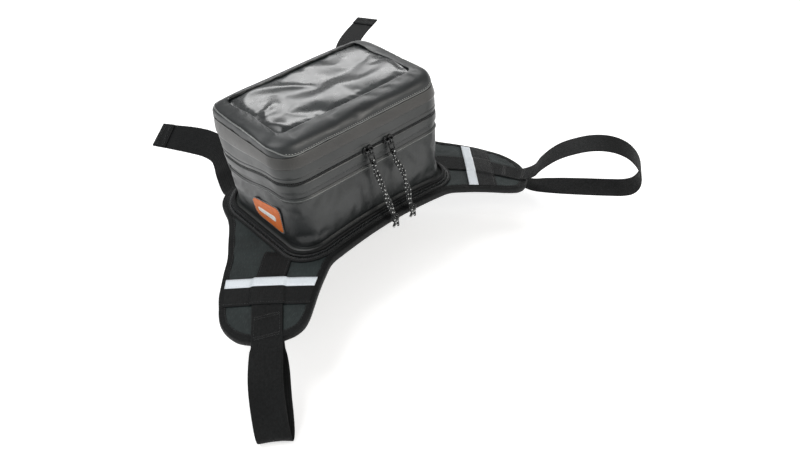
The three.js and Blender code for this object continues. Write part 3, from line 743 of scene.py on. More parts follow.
COATED = coated("coated_fabric")
LID_COAT = coated("coated_fabric_lid", dark="#16191a", light="#242829", rough=0.42)
# the rain flap's coat is painted lighter and warmer than the rest of the bag's coated fabric: a
# painted highlight for the bright band the light lays on the flap
FLAP_COAT_PAINTED_HIGHLIGHT = coated("coated_fabric_flap_painted_highlight", dark="#2c2b29", light="#3e3c39", rough=0.32, grain=0.8)
TAPE_COAT = coated("coated_zip_tape", dark="#181b1b", light="#2a2d2c", rough=0.36, grain=0.8)
# light grey coat for the weld bead and the lid's welt: a painted highlight, the glint of light
# along these seams
SEAM_PAINTED_GLINT = coated("welded_seam_painted_glint", dark="#5d605f", light="#8a8c8a", rough=0.3, grain=0.4)
FABRIC = fabric("harness_fabric")
LINING = fabric("lining_fabric", "#1c1f20", "#2b2f30", rough=0.7, pitch=0.0008, sheen=0.06)
WEB = webbing("webbing")
BIND = webbing("edge_binding", light="#161819", rough=0.6, pitch=0.0014, chevron=0.0015)
METAL = black_metal()
COIL = plastic("zip_coil", "#0b0c0d", rough=0.32)
# the base zip's coil is painted lighter than the lid zip's: a painted sheen for the glints of light
# along its teeth
COIL_BASE_PAINTED_SHEEN = plastic("zip_coil_base_painted_sheen", "#2e3031", rough=0.22)
THREAD = thread("black_thread", "#0f1011", "#2a2c2d")
PALE_THREAD = thread("pale_thread", "#8f918e", "#c2c3be")
FILM = window_film()
REFLECTIVE = reflective()
CORD = braided_cord()
FOAM = foam()
GRIP = grip_rubber()
BADGE_ORANGE = badge_rubber("badge_orange", "#c9611f", "#c45c1c", "#d9742e", 220, (0.3, 0.7))
BADGE_WHITE = badge_rubber("badge_white", "#dfe0dd", "#e4e5e2", "#c7c9c6", 300, (0.4, 0.7))


# ------------------------------------------------------------------ cloth
def drape(sheet, faces, pinned, *, pressure, shrink, cap, bend, tension, frames=16):
    """Simulates a sheet held at its pins; no point ends more than cap mm from its start."""
    sheet = np.asarray(sheet, float)
    V = sheet.reshape(-1, 3)
    mesh = bpy.data.meshes.new("sheet")
    mesh.from_pydata((V * MM).tolist(), [], [tuple(map(int, f)) for f in faces])
    ob = bpy.data.objects.new("sheet", mesh)
    scene.collection.objects.link(ob)
    group = ob.vertex_groups.new(name="pin")
    group.add(np.flatnonzero(pinned).tolist(), 1.0, "REPLACE")
    mod = ob.modifiers.new("cloth", "CLOTH")
    s = mod.settings
    s.quality, s.mass = 5, 0.25
    s.tension_stiffness = s.compression_stiffness = tension
    s.shear_stiffness, s.bending_stiffness = tension * 0.6, bend
    s.air_damping = 2.0
    s.vertex_group_mass = "pin"
    s.use_pressure, s.uniform_pressure_force = True, pressure
    s.shrink_min = shrink
    s.effector_weights.gravity = 0.0
    mod.collision_settings.use_collision = False
    mod.collision_settings.use_self_collision = False
    mod.point_cache.frame_start, mod.point_cache.frame_end = 1, frames
    for f in range(1, frames + 1):
        scene.frame_set(f)
    settled = ob.evaluated_get(bpy.context.evaluated_depsgraph_get())
    co = np.zeros(len(V) * 3)
    settled.data.vertices.foreach_get("co", co)
    bpy.data.objects.remove(ob)
    bpy.data.meshes.remove(mesh)
    scene.frame_set(1)
    move = np.nan_to_num(co.reshape(-1, 3) / MM - V)
    size = np.linalg.norm(move, axis=1, keepdims=True)
    return (V + move * np.minimum(1.0, cap / np.maximum(size, 1e-9))).reshape(sheet.shape)


# ================================================================== the tub
# A sheet held at the base, under the weld and at the zip, blown out a little between.
WALL_ROWS = 25
wall_foot = FLOOR_Z + arch(LOOP_PATH[:, 0])
WALL = np.stack([on_wall(LOOP_PATH, 0, wall_foot + (TUB_TOP - wall_foot) * t)
                 for t in np.linspace(0, 1, WALL_ROWS)], 1)
OUT = outward(LOOP_PATH)
above_arch = WALL[:, :, 2] - arch(WALL[:, :, 0])
held = (above_arch < 3.4) | (WALL[:, :, 2] > 54)
BULGE = drape(WALL, grid_faces(N_PATH, WALL_ROWS, wrap=True), held,
              pressure=3.2, shrink=-0.012, cap=3.4, bend=1.2, tension=14) - WALL
BULGE[held] = 0
# soft long dents, fading out at the seams
WALL_RUN = np.cumsum(np.linalg.norm(np.roll(WALL[:, 0], -1, 0) - WALL[:, 0], axis=1))
fade = np.sin(np.pi * np.clip((above_arch - 2) / 54, 0, 1)) ** 1.2
dent = 0.55 * np.sin(WALL_RUN / 31.0 + 0.6)[:, None] * np.sin(above_arch / 17.0 + 1.0)
dent += 0.35 * np.sin(WALL_RUN / 13.0)[:, None] * np.cos(above_arch / 24.0)
BULGE += OUT[:, None] * (dent * fade)[..., None]


def floor_rings(off, z, n=9):
    """Rings closing a level of the bag towards its middle line, following the arch."""
    rim = on_wall(LOOP_PATH, off, 0)
    middle = np.stack([np.clip(rim[:, 0], -70, 70), np.full(len(rim), -4.0)], 1)
    rings = []
    for k in range(n + 1):
        ring = rim.copy()
        ring[:, :2] += (middle - rim[:, :2]) * (k / n)
        ring[:, 2] = z + arch(ring[:, 0])
        rings.append(ring)
    return np.stack(rings, 1)


def build_tub():
    outer = WALL + BULGE
    inner = outer - OUT[:, None] * WALL_T
    inner[:, 0] = on_wall(LOOP_PATH, -WALL_T, 0)
    inner[:, 0, 2] = FLOOR_Z + WALL_T + arch(inner[:, 0, 0])
    top = outer[:, -1]
    rise = np.array([0, 0, 0.5])
    rim = np.stack([top, top + rise - OUT * 0.3, top + rise - OUT * 1.2, inner[:, -1]], 1)
    part = Part()
    for G in (outer, rim, inner[:, ::-1], floor_rings(0, FLOOR_Z),
              floor_rings(-WALL_T, FLOOR_Z + WALL_T)[:, ::-1]):
        part.grid(G, close_u=True)
    stand_for(part.build("bag_tub", COATED, "bag", give=True), "bag_shell", slot="coated_fabric")


def add_liner(part, outer, inner, rise, lean_in, lean_out):
    """A double wall of cloth with a rounded top edge."""
    up = np.array([0, 0, rise])
    top = np.stack([outer[:, -1], outer[:, -1] + up - OUT * lean_in,
                    inner[:, -1] + up + OUT * lean_out, inner[:, -1]], 1)
    for G in (outer, top, inner[:, ::-1], np.stack([inner[:, 0], outer[:, 0]], 1)):
        part.grid(G, close_u=True)


def build_lining():
    outer, inner = [], []
    for k, z in enumerate(np.linspace(1.2, 72, 16)):
        ripple = 0.25 * np.sin(WALL_RUN / 9.0 + z / 7.0)
        wall = on_wall(LOOP_PATH, 0, z)
        for rows, depth in ((outer, 2.2), (inner, (3.7 + ripple)[:, None])):
            row = wall - OUT * depth
            if k < 3:  # the lowest rows follow the arch
                row[:, 2] = z + arch(row[:, 0]) * (1 - k / 3)
            rows.append(row)
    part = Part()
    add_liner(part, np.stack(outer, 1), np.stack(inner, 1), rise=1.0, lean_in=0.4, lean_out=0.3)
    ob = part.build("bag_lining", LINING, "bag", give=True)
    stand_for(ob, "wall_stiffener", slot="stiffener_board")


def build_floor_board():
    top, under = floor_rings(-4.6, -2.2, 12), floor_rings(-4.6, -4.4, 12)
    padding = np.clip(np.linspace(0, 1, top.shape[1]) * 2.2, 0, 1)
    top[..., 2] += 0.72 * np.sin(np.pi * padding)[None, :]
    edge = np.stack([top[:, 0], (top[:, 0] + under[:, 0]) / 2 + OUT * 0.7, under[:, 0]], 1)
    part = Part()
    for G in (top, edge[:, ::-1], under[:, ::-1]):
        part.grid(G, close_u=True)
    stand_for(part.build("bag_floor_board", LINING, "bag"), "base_board", slot="stiffener_board")


build_tub()
build_lining()
build_floor_board()

# ------------------------------------------------------------------ seam, zip tapes, rain flap
# Profiles are (out from the wall, z).
WELD_PROFILE = [
    [0.1, 54.8], [0.7, 55.3], [0.95, 56.2], [0.85, 57.3], [1.25, 57.9], [1.25, 58.9],
    [0.85, 59.5], [0.95, 60.6], [0.6, 61.4], [0.1, 61.8], [-0.6, 61.4], [-0.6, 55.2]]
LOWER_TAPE_PROFILE = [
    [-0.3, 66.8], [0.5, 66.9], [1.0, 67.7], [0.9, 68.6], [1.7, 69.4], [1.9, 71],
    [2.0, 74], [1.9, 77.4], [1.75, 79.0], [1.2, 79.9], [0.2, 80.0], [-0.3, 79.4]]
UPPER_TAPE_PROFILE = [
    [-0.2, 83.3], [1.0, 83.3], [1.6, 84.1], [1.75, 86], [1.7, 88.2], [1.2, 88.7],
    [1.55, 89.3], [1.8, 92], [1.75, 97], [1.65, 101.6], [1.2, 102.3], [-0.2, 102.3]]
FLAP_PROFILE = [[0.0, 102.2], [1.3, 101.4], [2.2, 101.5], [2.5, 102.3]]
FLAP_PROFILE += [[2.55 - 1.5 * (k / 17) ** 1.5 + 0.05 * math.cos(k * math.pi), 103 + k * 0.62]
                 for k in range(18)]
FLAP_PROFILE += [[0.9, 114.6], [0.6, 115.3], [0.0, 115.2]]
FLANGE_PROFILE = [[0.2, -5.8], [2.6, -5.8], [9.0, -5.9], [9.4, -5.0], [6.4, -3.9],
                  [3.4, -3.3], [1.5, -2.4], [0.8, -0.9], [0.3, 0.2]]
BASE_TAPE_PROFILE = [[5.8, -7.3], [16.6, -7.3], [17.3, -6.9], [17.2, -5.9], [16.2, -5.2],
                     [15.0, -5.3], [14.6, -6.3], [5.8, -6.4]]

ring_object("weld_seam", WELD_PROFILE, TAPE_COAT, "bag", "lower_weld_strip", "coated_fabric",
            r=0.25, step=0.9)
# a thin bead on the weld seam in the light grey seam coat, there to carry a painted glint
bead = Part()
add_ring(bead, circle(1.25, 58.5, 0.42, 8))
stand_for(bead.build("weld_bead_painted_glint", SEAM_PAINTED_GLINT, "bag", give=True), slot="coated_fabric")
ring_object("lid_zip_lower_tape_skin", LOWER_TAPE_PROFILE, TAPE_COAT, "bag",
            "lid_zip_lower_tape", "zip_tape", u_shape=True)
ring_object("lid_zip_upper_tape_skin", UPPER_TAPE_PROFILE, TAPE_COAT, "lid",
            "lid_zip_upper_tape", "zip_tape", u_shape=True, r=0.25)
# the flap's lighter, warmer coat is a painted highlight
ring_object("rain_flap", FLAP_PROFILE, FLAP_COAT_PAINTED_HIGHLIGHT, "lid", "zip_rain_flap", "coated_fabric",
            u_shape=True, step=1.5)

# lid zip: each half has its teeth and the woven edge they are sewn on
for half, body, z0, z1, teeth_z, phase in (
    ("lower", "bag", 79.2, 80.6, 81.0, 0.0),
    ("upper", "lid", 82.6, 84.2, 82.3, 0.5),
):
    part = Part()
    edge = [[-0.9, z0], [0.5, z0], [0.5, z1], [-0.9, z1]]
    add_ring(part, densify(fillet(edge, 0.2, 2), 2), u_shape=True, mat=1)
    add_teeth(part, U_PATH, 0.35, teeth_z, pitch=1.9, size=(1.15, 2.0, 2.0), phase=phase)
    ob = part.build(f"lid_zip_{half}_coil", [COIL, THREAD], body, give=True)
    stand_for(ob, f"lid_zip_{half}_teeth", slot="zip_coil")

# ------------------------------------------------------------------ base flange, piping and zip
ring_object("base_flange_skin", densify(FLANGE_PROFILE, 2), TAPE_COAT, "bag", "base_flange",
            "trim_fabric", arched=True)


def build_base_piping():
    part = Part()
    add_ring(part, circle(7.5, -1.6, 2.1, 12), arched=True)
    normals = outward(CLOSED_PATH) * 0.6 + [0, 0, 0.8]
    add_stitches(part, on_wall(CLOSED_PATH, 4.2, -3.3, True), normals,
                 length=2.2, pitch=3.4, r=0.26)
    ob = part.build("base_piping_cord", [BIND, THREAD], "bag")
    stand_for(ob, "base_piping", slot="trim_fabric")


def build_base_coil(half, body, edge, off, z, height, phase, lean):
    """One half of the base zip: sewn edge, and teeth off out from the wall at height z."""
    part = Part()
    add_ring(part, fillet(edge, 0.2, 2), arched=True, mat=1)
    add_teeth(part, CLOSED_PATH, off, z, pitch=2.3, size=(1.5, 1.7, height), phase=phase,
              arched=True, lean=lean)
    # the teeth take the lighter base coil colour, a painted sheen
    ob = part.build(f"base_zip_{half}_teeth", [COIL_BASE_PAINTED_SHEEN, THREAD], body)
    stand_for(ob, f"base_zip_{half}_coil", slot="zip_coil")


def build_base_tape():
    part = Part()
    add_ring(part, densify(fillet(BASE_TAPE_PROFILE, 0.3), 1.6), arched=True)
    add_stitches(part, on_wall(CLOSED_PATH, 16.1, -5.15, True), [0, 0, 1],
                 length=2.2, pitch=3.2, r=0.24)
    ob = part.build("base_zip_tape", [BIND, THREAD], "harness")
    stand_for(ob, "base_zip_lower_tape", slot="zip_tape")


build_base_piping()
build_base_coil("upper", "bag", [[9.4, -4.9], [10.4, -4.9], [10.4, -3.4], [9.4, -3.0]],
                off=10.95, z=-3.7, height=2.3, phase=0.0, lean=0.25)
build_base_coil("lower", "harness", [[13.4, -6.4], [14.8, -6.4], [14.8, -5.0], [13.4, -5.2]],
                off=12.9, z=-5.2, height=2.2, phase=0.5, lean=-0.25)
build_base_tape()


# ------------------------------------------------------------------ fabric hinge, far side
def add_slab(part, top, under, ends_first):
    """Closes two matching grids into a slab."""
    ends = [np.stack([top[0], under[0]], 0), np.stack([under[-1], top[-1]], 0)]
    sides = [np.stack([under[:, 0], top[:, 0]], 1), np.stack([top[:, -1], under[:, -1]], 1)]
    for G in [top, under[:, ::-1]] + (ends + sides if ends_first else sides + ends):
        part.grid(G)


def build_hinge():
    """Strip along the far side and round its corners."""
    span = 36  # path points to each side of the far middle
    path = np.concatenate([CLOSED_PATH[-span:-1], CLOSED_PATH[:span]])
    heights = np.concatenate([[63.6], np.linspace(64.4, 87.2, 12), [88.0]])
    outer = []
    for k, z in enumerate(heights):
        inside = 0 < k < 13
        off = 0.25 + (0.9 if inside else 0.5) + 0.22 * math.sin(k * 1.4) * inside
        outer.append(on_wall(path, off, z))
    part = Part()
    add_slab(part, np.stack(outer, 1), np.stack([on_wall(path, 0.12, z) for z in heights], 1),
             ends_first=False)
    for z in (67.0, 85.2):
        add_stitches(part, on_wall(path, 1.25, z), outward(path), length=2.2, pitch=3.3, r=0.24)
    ob = part.build("lid_hinge_fabric", [TAPE_COAT, THREAD], give=True)
    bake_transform(ob)
    stand_for(ob, "lid_hinge_strip", slot="coated_fabric")


build_hinge()

# ------------------------------------------------------------------ patch on the left end
PATCH_Y, PATCH_Z = -24, 20


def wall_bulge_x(x, y, z):
    """How far the soft wall has moved along x near a point."""
    d = ((WALL - [x, y, z]) ** 2).sum(2).ravel()
    k = np.argsort(d)[:4]
    w = 1 / (d[k] + 0.5)
    return (BULGE.reshape(-1, 3)[k] * w[:, None]).sum(0)[0] / w.sum()


def quadratic(a, b):
    return np.stack([np.ones_like(a), a, b, a * a, a * b, b * b], -1)


# a smooth sheet over the wall, so the stiff patch doesn't copy its creases
fit_y, fit_z = [a.ravel() for a in np.meshgrid(np.linspace(-34, 34, 15), np.linspace(-22, 22, 11))]
bulge_x = np.array([wall_bulge_x(-HALF_W, PATCH_Y + a, PATCH_Z + b) for a, b in zip(fit_y, fit_z)])
PATCH_FIT = np.linalg.lstsq(quadratic(fit_y, fit_z), bulge_x, rcond=None)[0]
PATCH_SHIFT = 0.8 * (bulge_x - quadratic(fit_y, fit_z) @ PATCH_FIT).min()


def on_patch(outline, lift):
    """A (y, z) outline about the patch's middle, laid lift above the wall."""
    x = -HALF_W + (quadratic(outline[:, 0], outline[:, 1]) @ PATCH_FIT + PATCH_SHIFT) - lift
    return np.stack([x, PATCH_Y + outline[:, 0], PATCH_Z + outline[:, 1]], 1)


def add_patch_layer(part, w, h, r, lift, mat, thick):
    # share of the outline, share of the thickness
    rings = [(1.0, 0.0), (1.0, 0.55), (0.985, 0.85), (0.95, 1.0), (0.7, 1.02), (0.4, 1.02),
             (0.12, 1.02)]
    o = rounded(0, 0, w, h, r)
    rows = []
    for k, rise in rings:
        loop = o * k if k < 0.9 else o - np.sign(o) * (1 - k) * h * 0.5
        rows.append(on_patch(loop, lift + thick * rise))
    G = np.stack(rows, 1)
    part.grid(G, mat, close_u=True)
    part.cap(G[::-1, -1], mat)
    part.cap(G[:, 0], mat)


def build_patch():
    """Orange patch with a white bar and a dark sewn rim."""
    part = Part()
    add_patch_layer(part, w=62, h=40, r=9, lift=-0.3, mat=1, thick=1.0)
    add_patch_layer(part, w=58.4, h=36.4, r=7.4, lift=0.55, mat=0, thick=0.55)
    add_patch_layer(part, w=38, h=8.4, r=3.6, lift=0.95, mat=2, thick=0.5)
    seam = rounded(0, 0, 60.4, 38.4, 8.3, 8)
    seam = np.concatenate([seam, seam[:1]])
    add_stitches(part, on_patch(seam, 0.75), [-1, 0, 0], length=2.0, pitch=3.0, r=0.26, mat=3)
    mats = [BADGE_ORANGE, THREAD, BADGE_WHITE, PALE_THREAD]
    stand_for(part.build("end_patch", mats, "bag", give=True), "end_badge", slot="badge")


build_patch()

# ================================================================== the lid
# The skin's section, as (z, offset out of the wall), from the bottom edge to the top.
LID_LONG_SIDES = np.array([
    (84.8, 0), (92, 0), (100, 0), (107, 0), (112, 0), (115, -0.3), (118, -0.9),
    (120.5, -1.9), (122.7, -3.4), (124.6, -5.6), (126.1, -8.4), (127.2, -11.8),
    (127.9, -15.4), (128.3, -18.6)])
LID_ENDS = np.array([
    (84.8, 0), (92, 0), (100, 0), (108, 0), (113, 0), (117, 0), (120, -0.2),
    (122.2, -0.8), (123.5, -2.0), (124.7, -3.9), (125.9, -6.6), (127.0, -9.8),
    (127.7, -12.8), (128.2, -15.6)])
END_SHARE = LOOP_PATH[:, 3] ** 2  # 1 on the ends, 0 on the near and far sides


def window_outline():
    """The window's slightly wavy edge, in step with the wall path."""
    P = rounded_path(WIN_HALF_W, (WIN_FAR, 0), (WIN_NEAR, 0), WIN_R)[:-1, :2]
    x, y = P.T.copy()

    def hump(height, middle, width):
        return height * np.exp(-(((y - middle) / width) ** 2))

    P[:, 0] += smooth((x - 60) / 35) * (hump(-2.6, 26, 13) + hump(1.5, -8, 16))
    P[:, 0] += smooth((-x - 60) / 35) * (hump(1.6, 8, 16) - hump(1.2, 40, 14))
    P[:, 1] += smooth((-y - 30) / 20) * (-0.9 * np.sin(x / 26.0 + 0.5))
    P[:, 1] += smooth((y - 40) / 20) * (0.7 * np.sin(x / 31.0))
    return P


def grid_normals(G, wrap=True):
    du = np.roll(G, -1, 0) - np.roll(G, 1, 0) if wrap else np.gradient(G, axis=0)
    return unit(np.cross(du, np.gradient(G, axis=1)))


def lid_skin(window):
    """Draped grid from the lid's bottom edge up over the side and in to the window."""
    rows = []
    for sides, ends in zip(LID_LONG_SIDES, LID_ENDS):
        z, off = (sides[k] * (1 - END_SHARE) + ends[k] * END_SHARE for k in (0, 1))
        row = on_wall(LOOP_PATH, off, z)
        row[:, 2] = z - TILT * row[:, 1] * smooth((z - 113) / 14)
        rows.append(row)
    last = rows[-1]
    top_rows = 7
    for k in range(1, top_rows + 1):
        f = k / top_rows
        row = last.copy()
        row[:, :2] = last[:, :2] + (window - last[:, :2]) * f
        step = last[:, 2] - (TOP_Z - TILT * last[:, 1])
        row[:, 2] = TOP_Z - TILT * row[:, 1] + step * (1 - f)
        rows.append(row)
    skin = np.stack(rows, 1)
    pinned = np.zeros(skin.shape[:2], bool)
    pinned[:, :4] = pinned[:, -1] = True
    skin = drape(skin, grid_faces(*skin.shape[:2], wrap=True), pinned,
                 pressure=1.2, shrink=-0.002, cap=0.9, bend=2.5, tension=16)
    # slow waves round the top
    x, y = skin[:, :, 0], skin[:, :, 1]
    wave = smooth((x - 70) / 30) * 1.3 * np.sin((y - 12) / 15.0)
    wave = wave + smooth((-x - 70) / 30) * 0.5 * np.sin(y / 19.0) + 0.28 * np.sin(x / 21.0)
    skin[:, :, 2] += smooth((skin[:, :, 2] - 121) / 5) * wave
    return skin, last


def at_height(G, normals, heights):
    """Points and normals on the lid's side at the heights asked for, one for each column."""
    P, Q = [], []
    for i in range(len(G)):
        z = G[i, : len(LID_ENDS), 2]
        k = int(np.clip(np.searchsorted(z, heights[i]) - 1, 0, 12))
        f = float(np.clip((heights[i] - z[k]) / max(z[k + 1] - z[k], 1e-6), 0, 1))
        P.append(G[i, k] * (1 - f) + G[i, k + 1] * f)
        Q.append(normals[i, k] * (1 - f) + normals[i, k + 1] * f)
    return np.array(P), unit(Q)


def build_lid_cover():
    window = window_outline()
    skin, last = lid_skin(window)
    normals = grid_normals(skin)
    under = skin - normals * 1.4
    under[:, 0, 2] = LID_BOTTOM
    # rounded lip round the window, and the bottom edge
    inward = unit(np.concatenate([window - last[:, :2], np.zeros((N_PATH, 1))], 1))
    e0, e1 = skin[:, -1], under[:, -1]
    lip = np.stack([e0, e0 + inward * 0.55 - [0, 0, 0.22], e0 + inward * 0.8 - [0, 0, 0.7],
                    e1 + inward * 0.55, e1], 1)
    drop, b0, b1 = np.array([0, 0, 0.35]), under[:, 0], skin[:, 0]
    bottom = np.stack([b0, b0 - drop + normals[:, 0] * 0.4, b1 - drop - normals[:, 0] * 0.4, b1], 1)
    part = Part()
    for G in (skin, lip, under[:, ::-1], bottom):
        part.grid(G, close_u=True)
    ob = part.build("lid_cover", LID_COAT, "lid", give=True)
    stand_for(ob, "lid_shell", slot="coated_fabric")
    return skin, normals


def build_lid_welt(skin, normals):
    """Low rounded bead along the seam between the lid's top and its band."""
    side_z, end_z = 116.2, 122.9
    ny = LOOP_PATH[:, 4]
    share = np.where(ny < 0, END_SHARE, 1 - 0.35 * ny**2)
    P, N = at_height(skin, normals, side_z + (end_z - side_z) * smooth(share))
    T = unit(np.roll(P, -1, 0) - np.roll(P, 1, 0))
    down = np.cross(T, N)
    a = turn(8)
    bead = P[:, None] + N[:, None] * (0.1 + 0.55 * np.sin(a))[None, :, None]
    bead = bead + down[:, None] * (0.75 * np.cos(a))[None, :, None]
    part = Part()
    part.grid(bead, close_u=True, close_v=True)
    near = np.where((P[:, 1] < -60) & (np.abs(P[:, 0]) < 104))[0]
    add_stitches(part, P[near] - down[near] * 1.6, N[near], length=1.9, pitch=3.1, r=0.26, lift=0.1)
    # the welt's light grey coat is a painted highlight along the seam
    ob = part.build("lid_welt", [SEAM_PAINTED_GLINT, PALE_THREAD], "lid", give=True)
    stand_for(ob, slot="coated_fabric")


build_lid_welt(*build_lid_cover())


# ------------------------------------------------------------------ window film
def film_relief(u, v):
    """Slack folds of the film; u and v run 0 to 1 across the window."""

    def ridge(middle, width, height, start, end, soft):
        g = height * np.exp(-(((v - middle) / width) ** 2))
        return g * smooth((u - start) / soft) * (1 - smooth((u - end) / soft))

    def dimple(cu, cv, width_u, width_v, height):
        return height * np.exp(-(((u - cu) / width_u) ** 2) - ((v - cv) / width_v) ** 2)

    # middle line in v, width, height, start and end in u, softness of the ends
    ridges = [
        (0.99 - 0.15 * u - 1.7 * u**2, 0.074, 1.44, 0.02, 0.36, 0.12),
        (0.27 + 0.05 * np.sin(u * 7), 0.176, 1.56, 0.22, 1.1, 0.16),
        (0.80 + 0.06 * (u - 0.7), 0.095, 0.90, 0.55, 0.93, 0.14),
        (0.56 - 0.12 * (u - 0.5), 0.121, -0.78, 0.3, 0.96, 0.14),
        (0.40 + 0.9 * (u - 0.02), 0.068, 1.02, 0.02, 0.16, 0.06),
        (0.20 + 0.9 * u, 0.081, -0.72, 0.03, 0.2, 0.08),
    ]
    h = sum(ridge(*row) for row in ridges) + dimple(0.06, 0.14, 0.035, 0.1, 2.0)
    for _ in range(16):
        cu, cv = 0.05 + 0.09 * rng.random(), 0.35 + 0.3 * rng.random()
        h += dimple(cu, cv, 0.014, 0.028, rng.uniform(-0.35, 0.4))
    return h + (0.4 * np.sin(u * 17 + v * 5) * np.sin(v * 9) + 1.0)


def build_film():
    """Slack sheet held all round under the lid's edge."""
    tuck = 3.0
    nx, ny = 100, 60
    X, Y = np.meshgrid(np.linspace(-WIN_HALF_W - tuck, WIN_HALF_W + tuck, nx),
                       np.linspace(WIN_NEAR - tuck, WIN_FAR + tuck, ny), indexing="ij")
    u, v = (X + WIN_HALF_W) / (2 * WIN_HALF_W), (Y - WIN_NEAR) / (WIN_FAR - WIN_NEAR)
    inside = smooth(np.minimum.reduce([u / 0.05, (1 - u) / 0.05, v / 0.08, (1 - v) / 0.08]))
    sheet = np.stack([X, Y, TOP_Z - 1.9 - TILT * Y + film_relief(u, v) * inside], 2)
    pinned = np.ones((nx, ny), bool)
    pinned[2:-2, 2:-2] = False
    sheet = drape(sheet, grid_faces(nx, ny), pinned,
                  pressure=0.5, shrink=-0.0025, cap=4.0, bend=4.0, tension=10, frames=12)
    normals = grid_normals(sheet, wrap=False)
    normals *= np.sign(normals[..., 2:3])
    part = Part()
    add_slab(part, sheet, sheet - normals * 0.45, ends_first=True)
    ob = part.build("window_film", FILM, "lid", give=True)
    stand_for(ob, "window_pane", slot="window_film")


def build_pocket():
    """Thin rounded sheet under the window, sewn round its underside."""
    thick = 1.1
    half_w, y0, y1 = 97.2, -51.6, 61.6
    centre = np.array([0, (y0 + y1) / 2])

    def top_z(x, y):
        wave = 0.5 * np.sin(x / 17.0) * np.sin(y / 23.0) - 0.5 * np.cos(np.pi * x / 200)
        return TOP_Z - 5.6 - TILT * y + wave

    o = densify(rounded(*centre, 2 * half_w, y1 - y0, 8.0, 5), 6)
    shares = np.concatenate([[1.0, 0.997], np.linspace(0.98, 0.06, 14)])
    xy = centre + (o[:, None] - centre) * shares[None, :, None]
    top = np.concatenate([xy, top_z(xy[..., 0], xy[..., 1])[..., None]], 2)
    under = top - [0, 0, thick]
    top[:, 0, 2] -= thick * 0.3
    under[:, 0, 2] += thick * 0.3
    part = Part()
    for G in (top, under[:, ::-1], np.stack([under[:, 0], top[:, 0]], 1)):
        part.grid(G, close_u=True)
    part.cap(top[:, -1])
    part.cap(under[::-1, -1])
    seam = densify(rounded(*centre, 184, 103, 6, 5), 5)
    seam = np.concatenate([seam, seam[:1]])
    line = np.column_stack([seam, top_z(seam[:, 0], seam[:, 1]) - 1.15])
    add_stitches(part, line, [0, 0, -1], length=2.3, pitch=3.4, r=0.26)
    ob = part.build("window_pocket", [LINING, THREAD], "lid", give=True)
    stand_for(ob, "window_pocket_back", slot="pocket_fabric")


def build_lid_lining():
    outer, inner = [], []
    for k, z in enumerate(np.linspace(87, 112, 8)):
        outer.append(on_wall(LOOP_PATH, -2.1 - 0.1 * math.sin(k), z))
        row = on_wall(LOOP_PATH, -3.6 - 0.35 * math.sin(k * math.pi / 7), z)
        inner.append(row + OUT * (0.2 * np.sin(WALL_RUN / 8))[:, None])
    part = Part()
    add_liner(part, np.stack(outer, 1), np.stack(inner, 1), rise=0.5, lean_in=0.5, lean_out=0.4)
    ob = part.build("lid_lining", LINING, "lid", give=True)
    stand_for(ob, "lid_skirt_liner", slot="coated_fabric")


build_film()
build_pocket()
build_lid_lining()


# ================================================================== zip sliders, pulls and cords
def place(local, origin, axes):
    return np.asarray(origin, float) + np.asarray(local, float) @ np.asarray(axes, float)


def at_level(loop, z, origin, axes):
    return place(np.column_stack([loop, np.full(len(loop), z)]), origin, axes)


def add_box(part, centre, axes, size, r):
    """A box with rounded edges."""
    a, b, h = [s / 2 for s in size]
    r = min(r, a * 0.9, b * 0.9, h * 0.9)
    o = rounded(0, 0, 2 * a, 2 * b, r, 3)
    levels = [(-h, -r), (-h + 0.3 * r, -0.3 * r), (-h + r, 0), (h - r, 0),
              (h - 0.3 * r, -0.3 * r), (h, -r)]
    G = np.stack([at_level(o + np.sign(o) * d, z, centre, axes) for z, d in levels], 1)
    part.grid(G, close_u=True)
    part.cap(G[::-1, 0])
    part.cap(G[:, -1])


def add_plate(part, centre, axes, outline, t, r, hole=None, dome=0.0):
    """A flat plate with rounded rim, its outline in the first two axes; a hole goes through."""
    mid = outline.mean(0)

    def ring(loop, inset, z):
        d = loop - mid
        inner = loop - d / np.linalg.norm(d, axis=1, keepdims=True) * inset
        return at_level(inner, z, centre, axes)

    rim = [(r, -t / 2), (0.3 * r, -t / 2 + 0.3 * r), (0, -t / 2 + r), (0, t / 2 - r),
           (0.3 * r, t / 2 - 0.3 * r), (r, t / 2)]
    rings = [ring(outline, k, z) for k, z in rim]
    if hole is None:
        for share, rise in ((0.6, dome * 0.75), (0.25, dome)):
            rings.append(ring(mid + (outline - mid) * share, 0, t / 2 + rise))
        G = np.stack(rings, 1)
        part.grid(G, close_u=True)
        part.cap(G[:, -1])
        part.cap(G[::-1, 0])
    else:
        rings += [ring(hole, -k, z) for k, z in rim[::-1]]
        part.grid(np.stack(rings, 1), close_u=True, close_v=True)


def start_near(loop, point, shift):
    """The loop rolled so that it starts nearest to point + shift."""
    return np.roll(loop, -int(np.argmin(np.linalg.norm(loop - point - shift, axis=1))), 0)


def add_eye(part, centre, out, up, across, count, wire):
    """Wire ring of radius 2.3 in the plane of out and up."""
    G = []
    for t in turn(count):
        radial = out * math.cos(t) + up * math.sin(t)
        G.append([centre + radial * 2.3 + wire * (math.cos(b) * radial + math.sin(b) * across)
                  for b in turn(8)])
    part.grid(G, close_u=True, close_v=True)


def add_cord(part, P, r=1.75, phase=0.0, sides=12):
    """Cord with a slightly lumpy braid; u runs along it in metres and v round it, 0 to 1."""
    P = spline(P, 0.9)
    _, B, N = frames_along(P, (1, 0, 0.1))
    run = run_along(P)
    a = np.linspace(0, 2 * np.pi, sides + 1)
    radius = r * (1 + 0.055 * np.sin(2 * np.pi * run / 3.0)[:, None] * np.sin(2 * a)[None, :])
    radius[[0, -1]] *= 0.75
    ring = np.cos(a)[None, :, None] * B[:, None] + np.sin(a)[None, :, None] * N[:, None]
    G = P[:, None] + radius[..., None] * ring
    uv = np.stack(np.meshgrid(run * MM + phase, a / (2 * np.pi), indexing="ij"), 2)
    part.add(G, grid_faces(*G.shape[:2]), uv)
    for loop in (G[0, :-1][::-1], G[-1, :-1]):
        part.add(loop, [tuple(range(sides))], np.zeros((sides, 2)))


